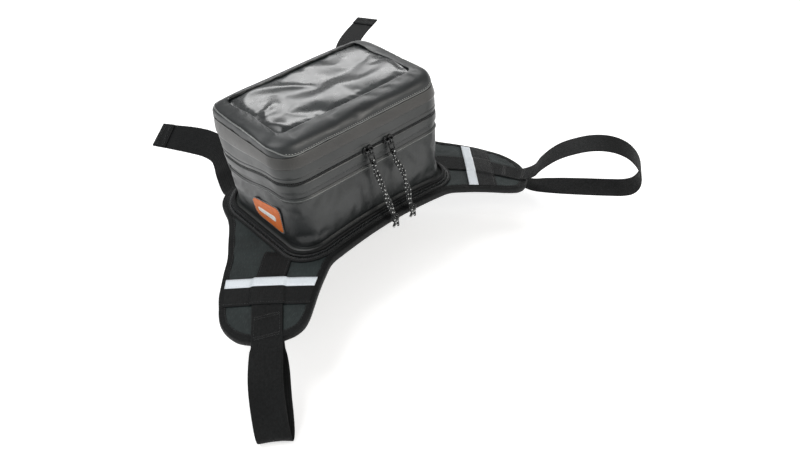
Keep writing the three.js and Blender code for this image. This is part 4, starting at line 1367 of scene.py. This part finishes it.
# outlines in the plane of each part (across, up)
SHIELD = [(-6.6, -3.3), (-4.6, -4.7), (0, -4.2), (4.6, -4.7), (6.6, -3.3), (6.9, 0),
          (6.4, 3.4), (4.2, 4.6), (0, 3.7), (-4.2, 4.6), (-6.4, 3.4), (-6.9, 0)]
BRIDGE = [(-5.2, 3.0), (-5.3, 5.2), (-4.4, 7.0), (0, 7.35), (4.4, 7.0), (5.3, 5.2), (5.2, 3.0)]
LINK = [(-3.4, -1.9), (3.4, -1.9), (4.3, -4.4), (4.0, -9.5), (4.3, -14.8),
        (2.9, -17.2), (-2.9, -17.2), (-4.3, -14.8), (-4.0, -9.5), (-4.3, -4.4)]
LINK_HOLE = [(-2.5, -6.7), (2.5, -6.7), (2.7, -14.4), (-2.7, -14.4)]
wall_lean = math.atan(NEAR_LEAN / LEAN_H)
WALL_OUT = np.array([0, -math.cos(wall_lean), math.sin(wall_lean)])
WALL_UP = np.array([0, math.sin(wall_lean), math.cos(wall_lean)])
LINK_SWING = 0.3  # radians
LINK_OUT = np.array([0, -math.cos(LINK_SWING), math.sin(LINK_SWING)])
LINK_UP = np.array([0, math.sin(LINK_SWING), math.cos(LINK_SWING)])


def build_slider(side, origin):
    """Domed shield, a wing behind the tape, and a bridge over the shield on two posts."""
    part = Part()
    flat, deep = (X_AXIS, WALL_UP, WALL_OUT), (X_AXIS, WALL_OUT, WALL_UP)
    shield = resample_closed(fillet(SHIELD, 1.2), 40)
    add_plate(part, origin + WALL_OUT * 3.0, flat, shield, 1.5, 0.5, dome=0.35)
    add_box(part, origin - WALL_OUT * 1.8, flat, (12, 4.6, 1.0), 0.4)
    add_box(part, origin + WALL_OUT * 0.4, deep, (2.8, 4.6, 1.0), 0.3)
    bridge = place(BRIDGE, origin, (X_AXIS, WALL_OUT))
    add_tube(part, spline(bridge, 0.6), 0.95, 10, up=tuple(WALL_UP))
    for q in (-1, 1):
        post = origin + WALL_OUT * 4.3 + X_AXIS * q * 5.2
        add_box(part, post, deep, (1.9, 2.4, 2.8), 0.5)
    ob = part.build(side + "_slider_body", METAL, side + "_slider", sharp=40)
    stand_for(ob, side + "_zip_slider", slot="black_metal")


def build_pull(side, pivot):
    """Wire eye round the bridge and a cast link with a slot."""
    part = Part()
    add_eye(part, pivot, LINK_OUT, LINK_UP, X_AXIS, count=32, wire=0.85)
    link = resample_closed(fillet(LINK, 1.2), 56)
    hole = resample_closed(fillet(LINK_HOLE, 1.3, 4), 56)
    hole = start_near(hole, link[0] * [0.7, 1], [0, -4])
    add_plate(part, pivot, (X_AXIS, LINK_UP, LINK_OUT), link, 1.5, 0.45, hole=hole)
    ob = part.build(side + "_pull_link", METAL, side + "_pull", sharp=45)
    stand_for(ob, side + "_zip_pull", slot="black_metal")


def build_pull_cord(side, bar, sway, phase, tail_ends):
    """A bight through the link, two strands, a knot and two cut tails.

    sway is the x offset at the strands' top and bottom, the knot and the tails.
    """
    part = Part()
    bx, by, bz = bar
    high, low, knot, tail = sway
    for q in (-1, 1):
        bight = [[bx + q * 0.15, by + 4 * math.sin(q * math.radians(d)),
                  bz + 4 * math.cos(math.radians(d))] for d in (-14, 0, 45, 90)]
        strand = [
            [bx + q * 1.8, by - 1.6 + q * 1.4, bz - 9],
            [bx + high + q * 2.1, -99.5 - 0.4 * q, 45],
            [bx + (high + low) / 2 + 0.7 * q, -104.3, 31],
            [bx + low + q * 2.1, -108 - 0.5 * q, 18],
            [bx + knot + q * 0.6 * 2.1, -114, 4],
            [bx + knot + q * 0.4 * 2.1, -118.0, -3],
        ]
        add_cord(part, bight + strand, phase=0.0011 * q + phase)
    c = np.array([bx + knot, -118.4, -3.6])
    trefoil = [c + [3.3 * math.sin(t) + 1.1 * math.sin(3 * t), 2.3 * math.cos(2 * t) * 0.8,
                    3.1 * math.cos(t) - 0.9 * math.cos(3 * t)]
               for t in np.linspace(0, 2 * np.pi, 40)]
    add_cord(part, trefoil, r=1.8, phase=0.002)
    collar = [c + [2.6 * math.cos(t), 2.9 * math.sin(t), 0.9 * math.sin(2 * t)]
              for t in np.linspace(0.3, 2 * np.pi + 0.2, 26)]
    add_cord(part, collar, r=1.7, phase=0.005)
    for q, end_x in zip((-1, 1), tail_ends):
        add_cord(part, [c + [q * 0.8, -0.2, -0.8],
                        c + [q * 1.8 + tail * 0.1, -0.9, -5.5],
                        [bx + tail + end_x, -119.8 - 0.3 * q, -14.6 - 1.2 * (q > 0)]],
                 phase=0.003 * q)
    ob = part.build(side + "_braided_cord", CORD, side + "_cord")
    stand_for(ob, side + "_pull_cord", slot="cord")


for side, slider_x, sway, phase, tail_ends in (
    ("left", -5.0, (1.5, 4, 5, 3.5), 0.0, (-3.4, 3.4)),
    ("right", 26.0, (4.5, 5, 2, -2), 0.004, (-1.3, 5.3)),
):
    slider_z = ZIP_Z + 0.1
    origin = np.array([slider_x, near_wall(slider_z), slider_z])
    pivot = origin + WALL_OUT * 7.0
    build_slider(side, origin)
    build_pull(side, pivot)
    build_pull_cord(side, pivot - LINK_UP * 15.7, sway, phase, tail_ends)

# base zip slider on the far side, with a flat tab; outlines are (x, y) and (x, z)
BASE_SHIELD = [(-6.6, -2.4), (-4.4, -3.1), (4.4, -3.1), (6.6, -2.4), (6.8, 0), (6.2, 2.5),
               (4.0, 3.1), (-4.0, 3.1), (-6.2, 2.5), (-6.8, 0)]
BASE_BRIDGE = [(-4.7, -0.2), (-4.9, 2.4), (-4.0, 4.1), (0, 4.4), (4.0, 4.1), (4.9, 2.4),
               (4.7, -0.2)]
BASE_TAB = [(-3.0, 2.2), (3.0, 2.2), (3.5, 8), (4.3, 15), (2.7, 19), (-2.7, 19),
            (-4.3, 15), (-3.5, 8)]
BASE_TAB_HOLE = [(-1.6, 12.2), (1.6, 12.2), (2.0, 16.0), (-2.0, 16.0)]
BRIDGE_Y = FAR + 12.7


def build_base_slider():
    axes = (X_AXIS, Y_AXIS, Z_AXIS)
    part = Part()
    shield = resample_closed(fillet(BASE_SHIELD, 1.0), 36)
    add_plate(part, [0, FAR + 13.2, -0.45], axes, shield, 1.4, 0.45, dome=0.3)
    add_box(part, [0, FAR + 12.1, -2.0], axes, (2.8, 0.9, 2.4), 0.25)
    bridge = spline([[x, BRIDGE_Y, z] for x, z in BASE_BRIDGE], 0.6)
    add_tube(part, bridge, 0.95, 10, up=(0, 1, 0))
    ob = part.build("base_slider_body", METAL, "base_slider", sharp=40)
    stand_for(ob, "base_zip_slider", slot="black_metal")

    part = Part()
    pivot = np.array([0, BRIDGE_Y, 4.2])
    add_eye(part, pivot, Y_AXIS, Z_AXIS, X_AXIS, count=28, wire=0.8)
    tab = resample_closed(fillet(BASE_TAB, 1.2), 48)
    hole = resample_closed(fillet(BASE_TAB_HOLE, 0.9, 4), 48)
    hole = start_near(hole, tab[0] * [0.5, 1], [0, 9])
    add_plate(part, pivot, axes, tab, 1.5, 0.45, hole=hole)
    ob = part.build("base_pull_tab", METAL, "base_pull", sharp=45)
    stand_for(ob, "base_zip_pull", slot="black_metal")


build_base_slider()

# ================================================================== the harness
# Left half of the edge, (x, y), from the front middle round the wing to the near middle.
LEFT_EDGE = [
    (0, 95.0), (-50, 95.0), (-85, 95.4), (-104.0, 95.0), (-117.0, 91.0), (-127.0, 82.0),
    (-133.0, 68.0), (-137.4, 53.2), (-145.1, 37.7), (-160.2, 16.3), (-176.0, -5.4),
    (-190.5, -19.3), (-203.5, -32.5), (-214.2, -43.9), (-222.2, -55.9), (-228.5, -65.5),
    (-233.2, -75.7), (-235.1, -85.6), (-235.3, -95.0), (-232.5, -111.3), (-223.7, -128.6),
    (-215.5, -139.5), (-204.9, -148.7), (-194.2, -156.3), (-183.5, -161.1), (-173.0, -161.7),
    (-161.8, -157.1), (-148.3, -147.8), (-132.1, -136.0), (-114.2, -124.4), (-95.5, -114.2),
    (-77.6, -112.6), (-60.0, -112.0), (-30, -111.0), (0, -110.6)]
# (distance out from the wing's tip, z) round each webbing loop
LEFT_LOOP = [
    (8, -41.9), (14, -43), (26, -45.5), (38, -48.5), (50, -53), (60, -60), (69, -68.5),
    (78, -79), (86, -90), (90, -98), (88, -102.5), (82.5, -101.5), (75, -94), (66, -84),
    (56, -74), (44, -66.5), (30, -61), (16, -57), (7, -54.6)]
RIGHT_LOOP = [
    (9, -30.5), (17, -19.5), (28, -7.5), (42, 3.5), (60, 12), (78, 17.5), (95, 19),
    (111, 16.5), (126, 9.5), (137, -1), (144, -13), (147, -25), (145.5, -37), (139, -45.5),
    (128, -49.5), (108, -51), (80, -52), (50, -53), (26, -53.8), (8, -53.9)]
WEB_W, WEB_T = 38, 1.5
WEB_Z = HARNESS_Z + 1.45  # middle of the webbing sewn on the wings


class Wing:
    """Directions and lines of one wing, all (x, y)."""

    def __init__(self, side, sign, tip, loop_dir, loop):
        self.side, self.sign, self.loop = side, sign, loop
        axis = np.array([sign * 0.778, -0.628])
        self.out = axis / np.linalg.norm(axis)
        self.across = np.array([-self.out[1], self.out[0]])
        self.band_mid = np.array([sign * 163, -80.0])
        self.tip, self.loop_dir = np.array(tip), unit(np.array(loop_dir))
        self.edge = spline(LEFT_EDGE, 2.5) * [-sign, 1]
        # the webbing's middle line from under the bag to the tip
        knee = self.band_mid + self.out * 8
        self.track = spline([self.band_mid - self.out * 62, self.band_mid - self.out * 20, knee,
                             knee * 0.45 + self.tip * 0.55, self.tip - self.loop_dir * 2], 2.5)

    def from_band(self, points):
        return (points - self.band_mid) @ self.out


WINGS = (
    Wing("left", -1.0, tip=(-211.6, -142.5), loop_dir=(-0.575, -0.818), loop=LEFT_LOOP),
    Wing("right", 1.0, tip=(212.0, -142.0), loop_dir=(0.62, -0.785), loop=RIGHT_LOOP),
)


def build_wing_piece(part, wing, name, mats, node, slot, *middle_nodes):
    """Builds a piece of the wing; the left one also replaces the middle nodes."""
    ob = part.build(wing.side + name, mats)
    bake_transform(ob)
    stand_for(ob, wing.side + node, slot=slot)
    if middle_nodes and wing.side == "left":
        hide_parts(*middle_nodes)


def dist_to(V, line, closed=False):
    d = np.full(len(V), 1e9)
    line = np.concatenate([line, line[:1]]) if closed else line
    for a, b in zip(line[:-1], line[1:]):
        ab = b - a
        t = np.clip(((V - a) @ ab) / (ab @ ab + 1e-12), 0, 1)
        d = np.minimum(d, np.linalg.norm(V - (a + t[:, None] * ab), axis=1))
    return d


def is_inside(V, loop):
    inside = np.zeros(len(V), bool)
    for a, b in zip(loop, np.roll(loop, -1, 0)):
        crosses = (a[1] > V[:, 1]) != (b[1] > V[:, 1])
        x = (b[0] - a[0]) * (V[:, 1] - a[1]) / (b[1] - a[1] + 1e-12) + a[0]
        inside ^= crosses & (V[:, 0] < x)
    return inside


def triangulate(loop, step, margin):
    """Points and triangles filling a closed outline, on a regular lattice inside."""
    low, high = loop.min(0), loop.max(0)
    xs = np.arange(low[0], high[0] + step, step)
    ys = np.arange(low[1], high[1] + step, step * 0.866)
    G = np.array([(x + (step / 2 if j % 2 else 0), y) for j, y in enumerate(ys) for x in xs])
    G = G[is_inside(G, loop) & (dist_to(G, loop, closed=True) > margin)]
    n = len(loop)
    points = [Vector(p) for p in np.concatenate([loop, G])]
    edges = [(k, (k + 1) % n) for k in range(n)]
    verts, _, faces, *_ = geometry.delaunay_2d_cdt(points, edges, [], 1, 1e-6)
    return np.array([tuple(v) for v in verts]), [tuple(f) for f in faces]


def wing_sheet(wing, V, faces, top, under, n_edge):
    """Closes a triangulated outline into a slab; its first n_edge points are the edge."""
    uv = np.stack([V @ wing.out, V @ wing.across], 1) * MM
    upper, lower = np.column_stack([V, top]), np.column_stack([V, under])
    part = Part()
    part.add(upper, faces, uv)
    part.add(lower, [f[::-1] for f in faces], uv)
    rim = [(k, (k + 1) % n_edge, (k + 1) % n_edge + n_edge, k + n_edge) for k in range(n_edge)]
    part.add(np.concatenate([upper[:n_edge], lower[:n_edge]]), rim,
             np.concatenate([uv[:n_edge], uv[:n_edge]]))
    return part


def cloth_lift(wing, V, faces):
    """How far the top cloth puffs up between its seams."""
    level = HARNESS_Z + arch(V[:, 0])
    to_edge, to_web = dist_to(V, wing.edge), dist_to(V, wing.track)
    under_bag = (np.abs(V[:, 0]) < HALF_W + 14) & (V[:, 1] < FAR + 14) & (V[:, 1] > NEAR_BASE - 15)
    under_band = np.abs(wing.from_band(V) - 13) < 21.5
    on_middle = np.abs(V[:, 0]) < 1e-6
    pinned = (to_edge < 8.5) | (to_web < 21.5) | under_band | under_bag | on_middle
    moved = drape(np.column_stack([V, level]), faces, pinned,
                  pressure=2.4, shrink=-0.012, cap=2.4, bend=0.8, tension=12, frames=14)
    ripple = 0.25 * np.sin(V[:, 0] / 11.0) * np.sin(V[:, 1] / 13.0)
    ripple = ripple * smooth((to_edge - 9) / 12) * smooth((to_web - 21) / 8)
    return np.where(pinned, 0, np.abs(moved[:, 2] - level) + ripple)


def binding_profile(width=9.0, z_top=0.25, z_bottom=-6.9):
    """(distance in from the edge, z) round a ribbed tape folded over the edge."""
    bend, rib = 1.2, 1.55
    profile = []
    for k in range(25):  # top face, from the inner side out
        d = width - (width - bend) * k / 24
        ribbing = 0.20 * math.cos(2 * math.pi * (width - d) / rib)
        profile.append((d, z_top + 0.55 + ribbing - (0.35 if k == 0 else 0)))
    mid, half = (z_top + z_bottom) / 2, (z_top - z_bottom) / 2
    for k in range(1, 9):  # round the edge
        a = math.pi / 2 - math.pi * k / 9
        profile.append((bend - 1.5 * math.cos(a), mid + (half + 0.5) * math.sin(a)))
    for k in range(13):  # underside
        d = bend + (width - bend) * k / 12
        profile.append((d, z_bottom - 0.5 - 0.15 * math.cos(2 * math.pi * (width - d) / rib)))
    profile += [(width + 0.1, z_bottom - 0.1), (width - 0.4, z_bottom + 0.4),
                (width - 0.4, z_top - 0.3), (width + 0.1, z_top + 0.1)]
    return profile


def build_binding(wing, inward):
    inward = inward.copy()
    inward[0], inward[-1] = (0, -1), (0, 1)

    def line(d, z):
        xy = wing.edge + inward * d
        return np.column_stack([xy, HARNESS_Z + z + arch(xy[:, 0])])

    G = np.stack([line(d, z) for d, z in binding_profile()], 1)
    part = Part()
    part.grid(G, close_v=True)
    part.cap(G[0])
    part.cap(G[-1][::-1])
    add_stitches(part, line(7.6, 0.87), [0, 0, 1], length=2.4, pitch=3.6, r=0.27)
    build_wing_piece(part, wing, "_edge_binding", [BIND, THREAD], "_wing_binding", "trim_fabric",
                     "harness_near_binding", "harness_front_binding")


def build_harness_half(wing):
    """Cloth, foam, grip and edge binding from the middle line out to the wing's edge."""
    T = tangents(wing.edge)
    inward = np.stack([-T[:, 1], T[:, 0]], 1) * -wing.sign
    inset = wing.edge + inward * 5.0
    inset[[0, -1], 0] = 0
    middle = np.linspace(inset[-1, 1], inset[0, 1], 22)[1:-1]
    loop = np.concatenate([inset, np.stack([np.zeros(20), middle], 1)])
    if wing.side == "right":
        loop = loop[::-1]
    n = len(loop)
    V, faces = triangulate(loop, 4.2, 2.2)
    z = arch(V[:, 0])
    part = wing_sheet(wing, V, faces, HARNESS_Z + z + cloth_lift(wing, V, faces),
                      HARNESS_Z - 1.15 + z, n)
    build_wing_piece(part, wing, "_harness_cloth", FABRIC, "_wing_panel", "harness_fabric",
                     "harness_top_panel")
    V, faces = triangulate(loop, 9, 4)
    z = HARNESS_Z + arch(V[:, 0])
    part = wing_sheet(wing, V, faces, z - 1.3, z - 4.9, n)
    build_wing_piece(part, wing, "_harness_foam", FOAM, "_wing_foam", "foam", "harness_foam_pad")
    part = wing_sheet(wing, V, faces, z - 5.1, z - 6.6, n)
    build_wing_piece(part, wing, "_harness_grip", GRIP, "_wing_grip", "grip_rubber",
                     "harness_grip_panel")
    build_binding(wing, inward)


for wing in WINGS:
    build_harness_half(wing)


# ------------------------------------------------------------------ webbing
def add_ribbon(part, P, W, width=WEB_W, t=WEB_T, ribs=15, rib=0.22):
    """Flat webbing along P with its width along W, ribbed along both faces."""
    T = tangents(P)
    W = square_to(W, T)
    N = np.cross(T, W)
    q = np.linspace(-1, 1, ribs * 4 + 1)
    edge = np.clip((1 - np.abs(q)) * width / 2 / 1.6, 0, 1)
    h = t / 2 * np.sqrt(1 - (1 - edge) ** 2)
    h = h + rib * 0.5 * (np.cos(np.pi * (q + 1) * ribs) - 1) * edge
    faces = [np.stack([q * width / 2, h], 1), np.stack([q[::-1] * width / 2, -h[::-1]], 1)[1:-1]]
    section = np.concatenate(faces)
    G = P[:, None] + section[None, :, 0, None] * W[:, None] + section[None, :, 1, None] * N[:, None]
    part.grid(G, close_v=True)
    part.cap(G[0][::-1])
    part.cap(G[-1])
    return T, W, N


def add_bartack(part, c, T, W, N, width, lift):
    """Two dense zigzags sewn across the webbing."""
    n = int(width / 1.1)
    for row in range(2):
        zigzag = [c + T * (row * 2.6 + (0.9 if k % 2 else -0.9))
                  + W * (-width / 2 + width * k / n) + N * lift for k in range(n + 1)]
        add_tube(part, zigzag, 0.3, 5, up=tuple(N), mat=1)


def build_wing_strap(wing):
    """Webbing sewn along the wing, from under the bag's edge to under the cross band."""
    reach = wing.from_band(wing.track)
    track, reach = wing.track[reach < 16], reach[reach < 16]
    z = WEB_Z + arch(track[:, 0]) - 2.25 * smooth((-37 - reach) / 9)
    P = np.column_stack([track, z])
    W = np.array([(*wing.across, arch_fall(p, wing.across)) for p in track])
    part = Part()
    _, W, N = add_ribbon(part, P, W)
    for q in (-1, 1):
        add_stitches(part, P + W * q * 16.2 + N * 0.72, N, length=2.4, pitch=3.6, r=0.25)
    build_wing_piece(part, wing, "_wing_strap", [WEB, THREAD], "_wing_webbing", "webbing")


def left_loop_shift(k):
    """Sideways shift of loop point k: out one way, back beside it."""
    back = smooth((k - 8) / 5.0) * (1 - smooth((k - 15.5) / 3.5))
    return -2.45 * math.sin(math.pi * min(k / 9.0, 1.0)) + 3.85 * back


def build_loop_strap(wing):
    """One length from under the band, over the tip, round, and back under the wing."""
    d, across = wing.loop_dir, wing.across
    loop_across = np.array([-d[1], d[0]])

    def width_at(point, direction, share=1.0):
        return (*direction, arch_fall(point, direction) * share)

    top = [(*q, WEB_Z + arch(q[0]))
           for q in wing.track[wing.from_band(wing.track) >= 10][:-2][::4]]
    # the width direction turns from the wing's to the loop's over the last part of the wing
    n = len(top)
    top_w = []
    for k, q in enumerate(top):
        f = smooth((k - n * 0.35) / (n * 0.6))
        top_w.append(width_at(q, unit(across * (1 - f) + loop_across * f)))
    loop = []
    for k, (reach, z) in enumerate(wing.loop):
        shift = left_loop_shift(k) if wing.side == "left" else 0.0
        loop.append((*(wing.tip + d * reach + loop_across * shift), z))
    shares = [0.7, 0.35, 0.1] + [0.0] * (len(loop) - 6) + [0.1, 0.35, 0.8]
    loop_w = [width_at(q, loop_across, f) for q, f in zip(loop, shares)]
    back = [(*q, HARNESS_Z - 8.2 + arch(q[0])) for q in wing.track[::-1][2:20:4]]
    back_w = [width_at(q, loop_across if k < 2 else across) for k, q in enumerate(back)]
    P, W = spline(top + loop + back, 2.2, top_w + loop_w + back_w)
    part = Part()
    T, W, N = add_ribbon(part, P, W)
    # box of stitches where the two layers are sewn to the wing's tip
    reach = (P[:, :2] - wing.tip) @ d
    sewn = np.flatnonzero((np.arange(len(P)) < len(P) * 0.5) & (reach > -34) & (reach < -5))
    for q in (-1, 1):
        line = P[sewn] + W[sewn] * q * 15.5 + N[sewn] * 0.75
        add_stitches(part, line, N[sewn], length=2.4, pitch=3.4, r=0.25)
    for e in (sewn[0], sewn[-1]):
        add_bartack(part, P[e], T[e], W[e], N[e], width=30, lift=0.85)
    ob = part.build(wing.side + "_loop_strap", [WEB, THREAD])
    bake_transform(ob)
    stand_for(ob, wing.side + "_strap_loop", wing.side + "_return_webbing", slot="webbing")


# ------------------------------------------------------------------ cross bands
BAND_STATIONS = np.linspace(-5.56, 31.44, 15)  # along the wing from the band's middle point
ACROSS = np.linspace(0, 1, 73)


def band_ends(wing):
    """How far the band reaches to each side at its stations, smoothed."""
    reach = np.linspace(-75, 75, 601)
    middle = 300
    ends = []
    for s in BAND_STATIONS:
        line = wing.band_mid + wing.out * s + reach[:, None] * wing.across
        at_edge = dist_to(line, wing.edge) < 5.2
        last = next((k for k in range(middle, 601) if at_edge[k]), 600)
        first = next((k for k in range(middle, -1, -1) if at_edge[k]), 0)
        ends.append((reach[first], reach[last]))
    return [np.convolve(np.pad(side, 2, mode="edge"), np.ones(5) / 5, "valid")
            for side in np.array(ends).T]


def band_line(wing, ends, s, trim=0.0):
    a0 = np.interp(s, BAND_STATIONS, ends[0]) + trim
    a1 = np.interp(s, BAND_STATIONS, ends[1]) - trim
    return wing.band_mid + wing.out * s + wing.across * (a0 + (a1 - a0) * ACROSS)[:, None]


def band_lift(wing, xy):
    """Height of the band's underside where it rides over the webbing."""
    return 0.55 + 1.75 * (1 - smooth((dist_to(xy, wing.track) - 18.5) / 5.0))


def closed_strip(G):
    part = Part()
    part.grid(G, close_u=True)
    part.cap(G[:, 0][::-1])
    part.cap(G[:, -1])
    return part


def build_cross_band(wing, ends):
    top, under = [], []
    taper = 0.35 * smooth((0.03 - ACROSS) / 0.03) + 0.35 * smooth((ACROSS - 0.97) / 0.03)
    for s in BAND_STATIONS:
        xy = band_line(wing, ends, s)
        level, lift = HARNESS_Z + arch(xy[:, 0]), band_lift(wing, xy) - taper
        rib = 0.16 * math.cos(s * 2 * math.pi / 5.3)
        wave = 0.075 * np.sin(ACROSS * 19 + s * 0.2)
        top.append(np.column_stack([xy, level + lift + 1.0 + rib + wave]))
        under.append(np.column_stack([xy, level + lift * 0.98 - 0.1]))
    top, under = np.array(top), np.array(under)
    first, last = (top[0] + under[0]) / 2, (top[-1] + under[-1]) / 2
    first[:, :2] -= wing.out * 0.45
    last[:, :2] += wing.out * 0.45
    part = closed_strip(np.concatenate([first[None], top, last[None], under[::-1]]))
    for row in (top[1], top[-2]):
        add_stitches(part, row + [0, 0, 0.03], [0, 0, 1], length=2.3, pitch=3.5, r=0.25)
    ob = part.build(wing.side + "_cross_band", [BIND, THREAD], wing.side + "_wing")
    stand_for(ob, wing.side + "_sleeve_band", slot="trim_fabric")


def build_reflective_tape(wing, ends):
    """Strip on the band, near its bag-side edge."""
    top, under = [], []
    stations = np.linspace(-4.9, 7.4, 7)
    for k, s in enumerate(stations):
        xy = band_line(wing, ends, s, trim=1.2)
        z = HARNESS_Z + arch(xy[:, 0]) + band_lift(wing, xy) + 1.3
        rim = 0.0 if 0 < k < len(stations) - 1 else -0.25
        top.append(np.column_stack([xy, z + 0.22 + rim + 0.05 * np.sin(ACROSS * 23)]))
        under.append(np.column_stack([xy, z - 0.25]))
    part = closed_strip(np.concatenate([np.array(top), np.array(under)[::-1]]))
    for row in (top[1], top[-2]):
        add_stitches(part, row + [0, 0, 0.02], [0, 0, 1], length=2.2, pitch=3.4, r=0.2)
    tape_thread = thread(wing.side + "_tape_thread", "#b9bec2", "#e6e9ec")
    mats = [REFLECTIVE, tape_thread]
    ob = part.build(wing.side + "_reflective_tape", mats, wing.side + "_wing")
    stand_for(ob, wing.side + "_reflective_strip", slot="reflective")


for wing in WINGS:
    build_wing_strap(wing)
    build_loop_strap(wing)
    reach_ends = band_ends(wing)
    build_cross_band(wing, reach_ends)
    build_reflective_tape(wing, reach_ends)

# ------------------------------------------------------------------ front straps
# Stations from the anchor under the harness to the free end: x, y, z, width direction.
LEFT_FRONT = np.array([
    (-94, 47, -22.5, 1, 0, 0), (-94, 70, -22.5, 1, 0, 0), (-94, 92, -22.5, 1, 0, 0),
    (-94, 101, -22.4, 1, 0, 0.1), (-90, 116, -16, 0.95, 0.1, 0.3),
    (-84, 134, -4, 0.8, 0.2, 0.55), (-80, 156, 3, 0.66, 0.25, 0.7),
    (-82, 182, 3, 0.62, 0.27, 0.74), (-90, 214, -1, 0.66, 0.3, 0.68),
    (-102, 250, -6, 0.76, 0.36, 0.5), (-113, 276, -9, 0.8, 0.4, 0.42)])
RIGHT_FRONT = np.array([
    (96, 47, -22.75, 1, 0, 0), (96, 70, -22.75, 1, 0, 0), (96, 92, -22.75, 1, 0, 0),
    (96, 101, -22.8, 1, 0, -0.08), (97.5, 112, -23, 1, -0.1, -0.05),
    (108, 130, -23, 0.95, -0.3, 0), (132, 156, -18, 0.85, -0.53, 0),
    (168, 198, -12, 0.78, -0.62, 0), (206, 246, -10, 0.75, -0.66, 0),
    (250, 292, -10, 0.6, -0.8, 0), (290, 320, -10, 0.5, -0.87, 0),
    (334, 343, -10, 0.47, -0.88, 0)])
HEM_LENGTH, FOLD_R = 24, 0.81


def add_fold(part, end, T, W, N):
    """The half-round turn at the free end, where the webbing folds back into its hem."""
    arc = np.array([end + T * 1.1 * math.sin(a) - N * (FOLD_R - FOLD_R * math.cos(a))
                    for a in np.linspace(0, math.pi, 9)])
    outer = np.array([[p + W * w * 18.8 for w in np.linspace(-1, 1, 9)] for p in arc])
    inner = outer - (arc - (end - N * FOLD_R))[:, None] * 0.55
    G = np.concatenate([outer, inner[::-1]])
    part.grid(G, close_u=True)
    part.cap(G[:, 0][::-1])
    part.cap(G[:, -1])


def build_front_strap(side, stations):
    P, W = spline(stations[:, :3], 2.2, stations[:, 3:])
    # a slow ripple grows towards the free end
    run = run_along(P)
    T = tangents(P)
    N = np.cross(T, square_to(W, T))
    P = P + N * (0.9 * np.sin(run / 27.0) * smooth((run - 70) / 60))[:, None]
    part = Part()
    T, W, N = add_ribbon(part, P, W)
    k = int(np.searchsorted(run, run[-1] - HEM_LENGTH))
    add_ribbon(part, P[k:] - N[k:] * 2 * FOLD_R, W[k:], width=37.6, t=1.4)
    add_fold(part, P[-1], T[-1], W[-1], N[-1])
    for q in (k + 2, len(P) - 4):  # through both faces of the hem
        add_bartack(part, P[q] + N[q] * 0.1, T[q], W[q], N[q], width=31, lift=0.8)
        add_bartack(part, P[q] - N[q] * 2 * FOLD_R, T[q], W[q], -N[q], width=31, lift=0.8)
    anchor = int(np.searchsorted(run, 6))
    for q in (anchor, anchor + 12):
        add_bartack(part, P[q], T[q], W[q], N[q], width=31, lift=0.8)
    ob = part.build(side + "_front_webbing", [WEB, THREAD])
    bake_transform(ob)
    stand_for(ob, side + "_front_strap", side + "_front_anchor", slot="webbing")


build_front_strap("left", LEFT_FRONT)
build_front_strap("right", RIGHT_FRONT)

# ================================================================== stage (metres)
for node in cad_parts.values():
    if not node.hide_render and not node.data.materials:
        node.data.materials.append(COATED)


def build_floor(half=6.0, z=-0.0925, glow=0.52):
    floor = bpy.data.objects.new("floor", bpy.data.meshes.new("floor"))
    corners = [(-half, -half, 0), (half, -half, 0), (half, half, 0), (-half, half, 0)]
    floor.data.from_pydata(corners, [], [(0, 1, 2, 3)])
    floor.location = (0, 0, z)
    m = Mat("floor", "#f4f4f4", 0.9, spec=0.1)
    m.bsdf.inputs["Emission Color"].default_value = (1, 1, 1, 1)
    m.bsdf.inputs["Emission Strength"].default_value = glow
    floor.data.materials.append(m.mat)
    scene.collection.objects.link(floor)


def build_world(strength=0.31):
    world = bpy.data.worlds.new("studio")
    scene.world = world
    world.use_nodes = True
    background = world.node_tree.nodes["Background"]
    background.inputs[0].default_value = (1, 1, 1, 1)
    background.inputs[1].default_value = strength


def area_light(name, location, size, power, color=(1, 1, 1), size_y=None):
    """Rectangular light aimed at the middle of the bag."""
    light = bpy.data.lights.new(name, "AREA")
    light.energy, light.color = power, color
    light.shape = "RECTANGLE"
    light.size, light.size_y = size, size_y or size
    ob = bpy.data.objects.new(name, light)
    ob.location = location
    ob.rotation_mode = "QUATERNION"
    aim = Vector((0, 0, 0.07)) - Vector(location)
    ob.rotation_quaternion = aim.to_track_quat("-Z", "Y")
    scene.collection.objects.link(ob)


def build_camera(location, azimuth, elevation, roll, lens):
    """Camera looking down from azimuth (from -y) and elevation, rolled; all in degrees."""
    cam = bpy.data.objects.new("camera", bpy.data.cameras.new("camera"))
    cam.data.lens, cam.data.sensor_width = lens, 36.0
    cam.data.clip_start, cam.data.clip_end = 0.01, 50
    az, el, roll = map(math.radians, (azimuth, elevation, roll))
    back = Vector((math.sin(az) * math.cos(el), -math.cos(az) * math.cos(el), math.sin(el)))
    right = (-back).cross(Vector((0, 0, 1))).normalized()
    up = right.cross(-back)
    rolled_right = right * math.cos(roll) + up * math.sin(roll)
    rolled_up = up * math.cos(roll) - right * math.sin(roll)
    matrix = Matrix((rolled_right, rolled_up, back)).transposed().to_4x4()
    matrix.translation = Vector(location)
    cam.matrix_world = matrix
    scene.collection.objects.link(cam)
    scene.camera = cam


build_floor()
build_world()
area_light("key", (-0.5, 0.5, 1.5), size=0.9, power=12)
area_light("back", (0.85, 1.05, 1.0), size=1.1, power=9, size_y=0.45)
area_light("front", (0.5, -1.4, 0.9), size=0.8, power=12, color=(1.0, 0.97, 0.92))
area_light("left", (-1.4, -0.2, 0.7), size=0.7, power=2.6, color=(0.93, 0.97, 1.0))
build_camera((-0.4595, -0.7068, 0.6178), azimuth=-38.298, elevation=40.274, roll=-4.48, lens=35.67)
scene.view_settings.view_transform = "Standard"
scene.view_settings.look = "None"
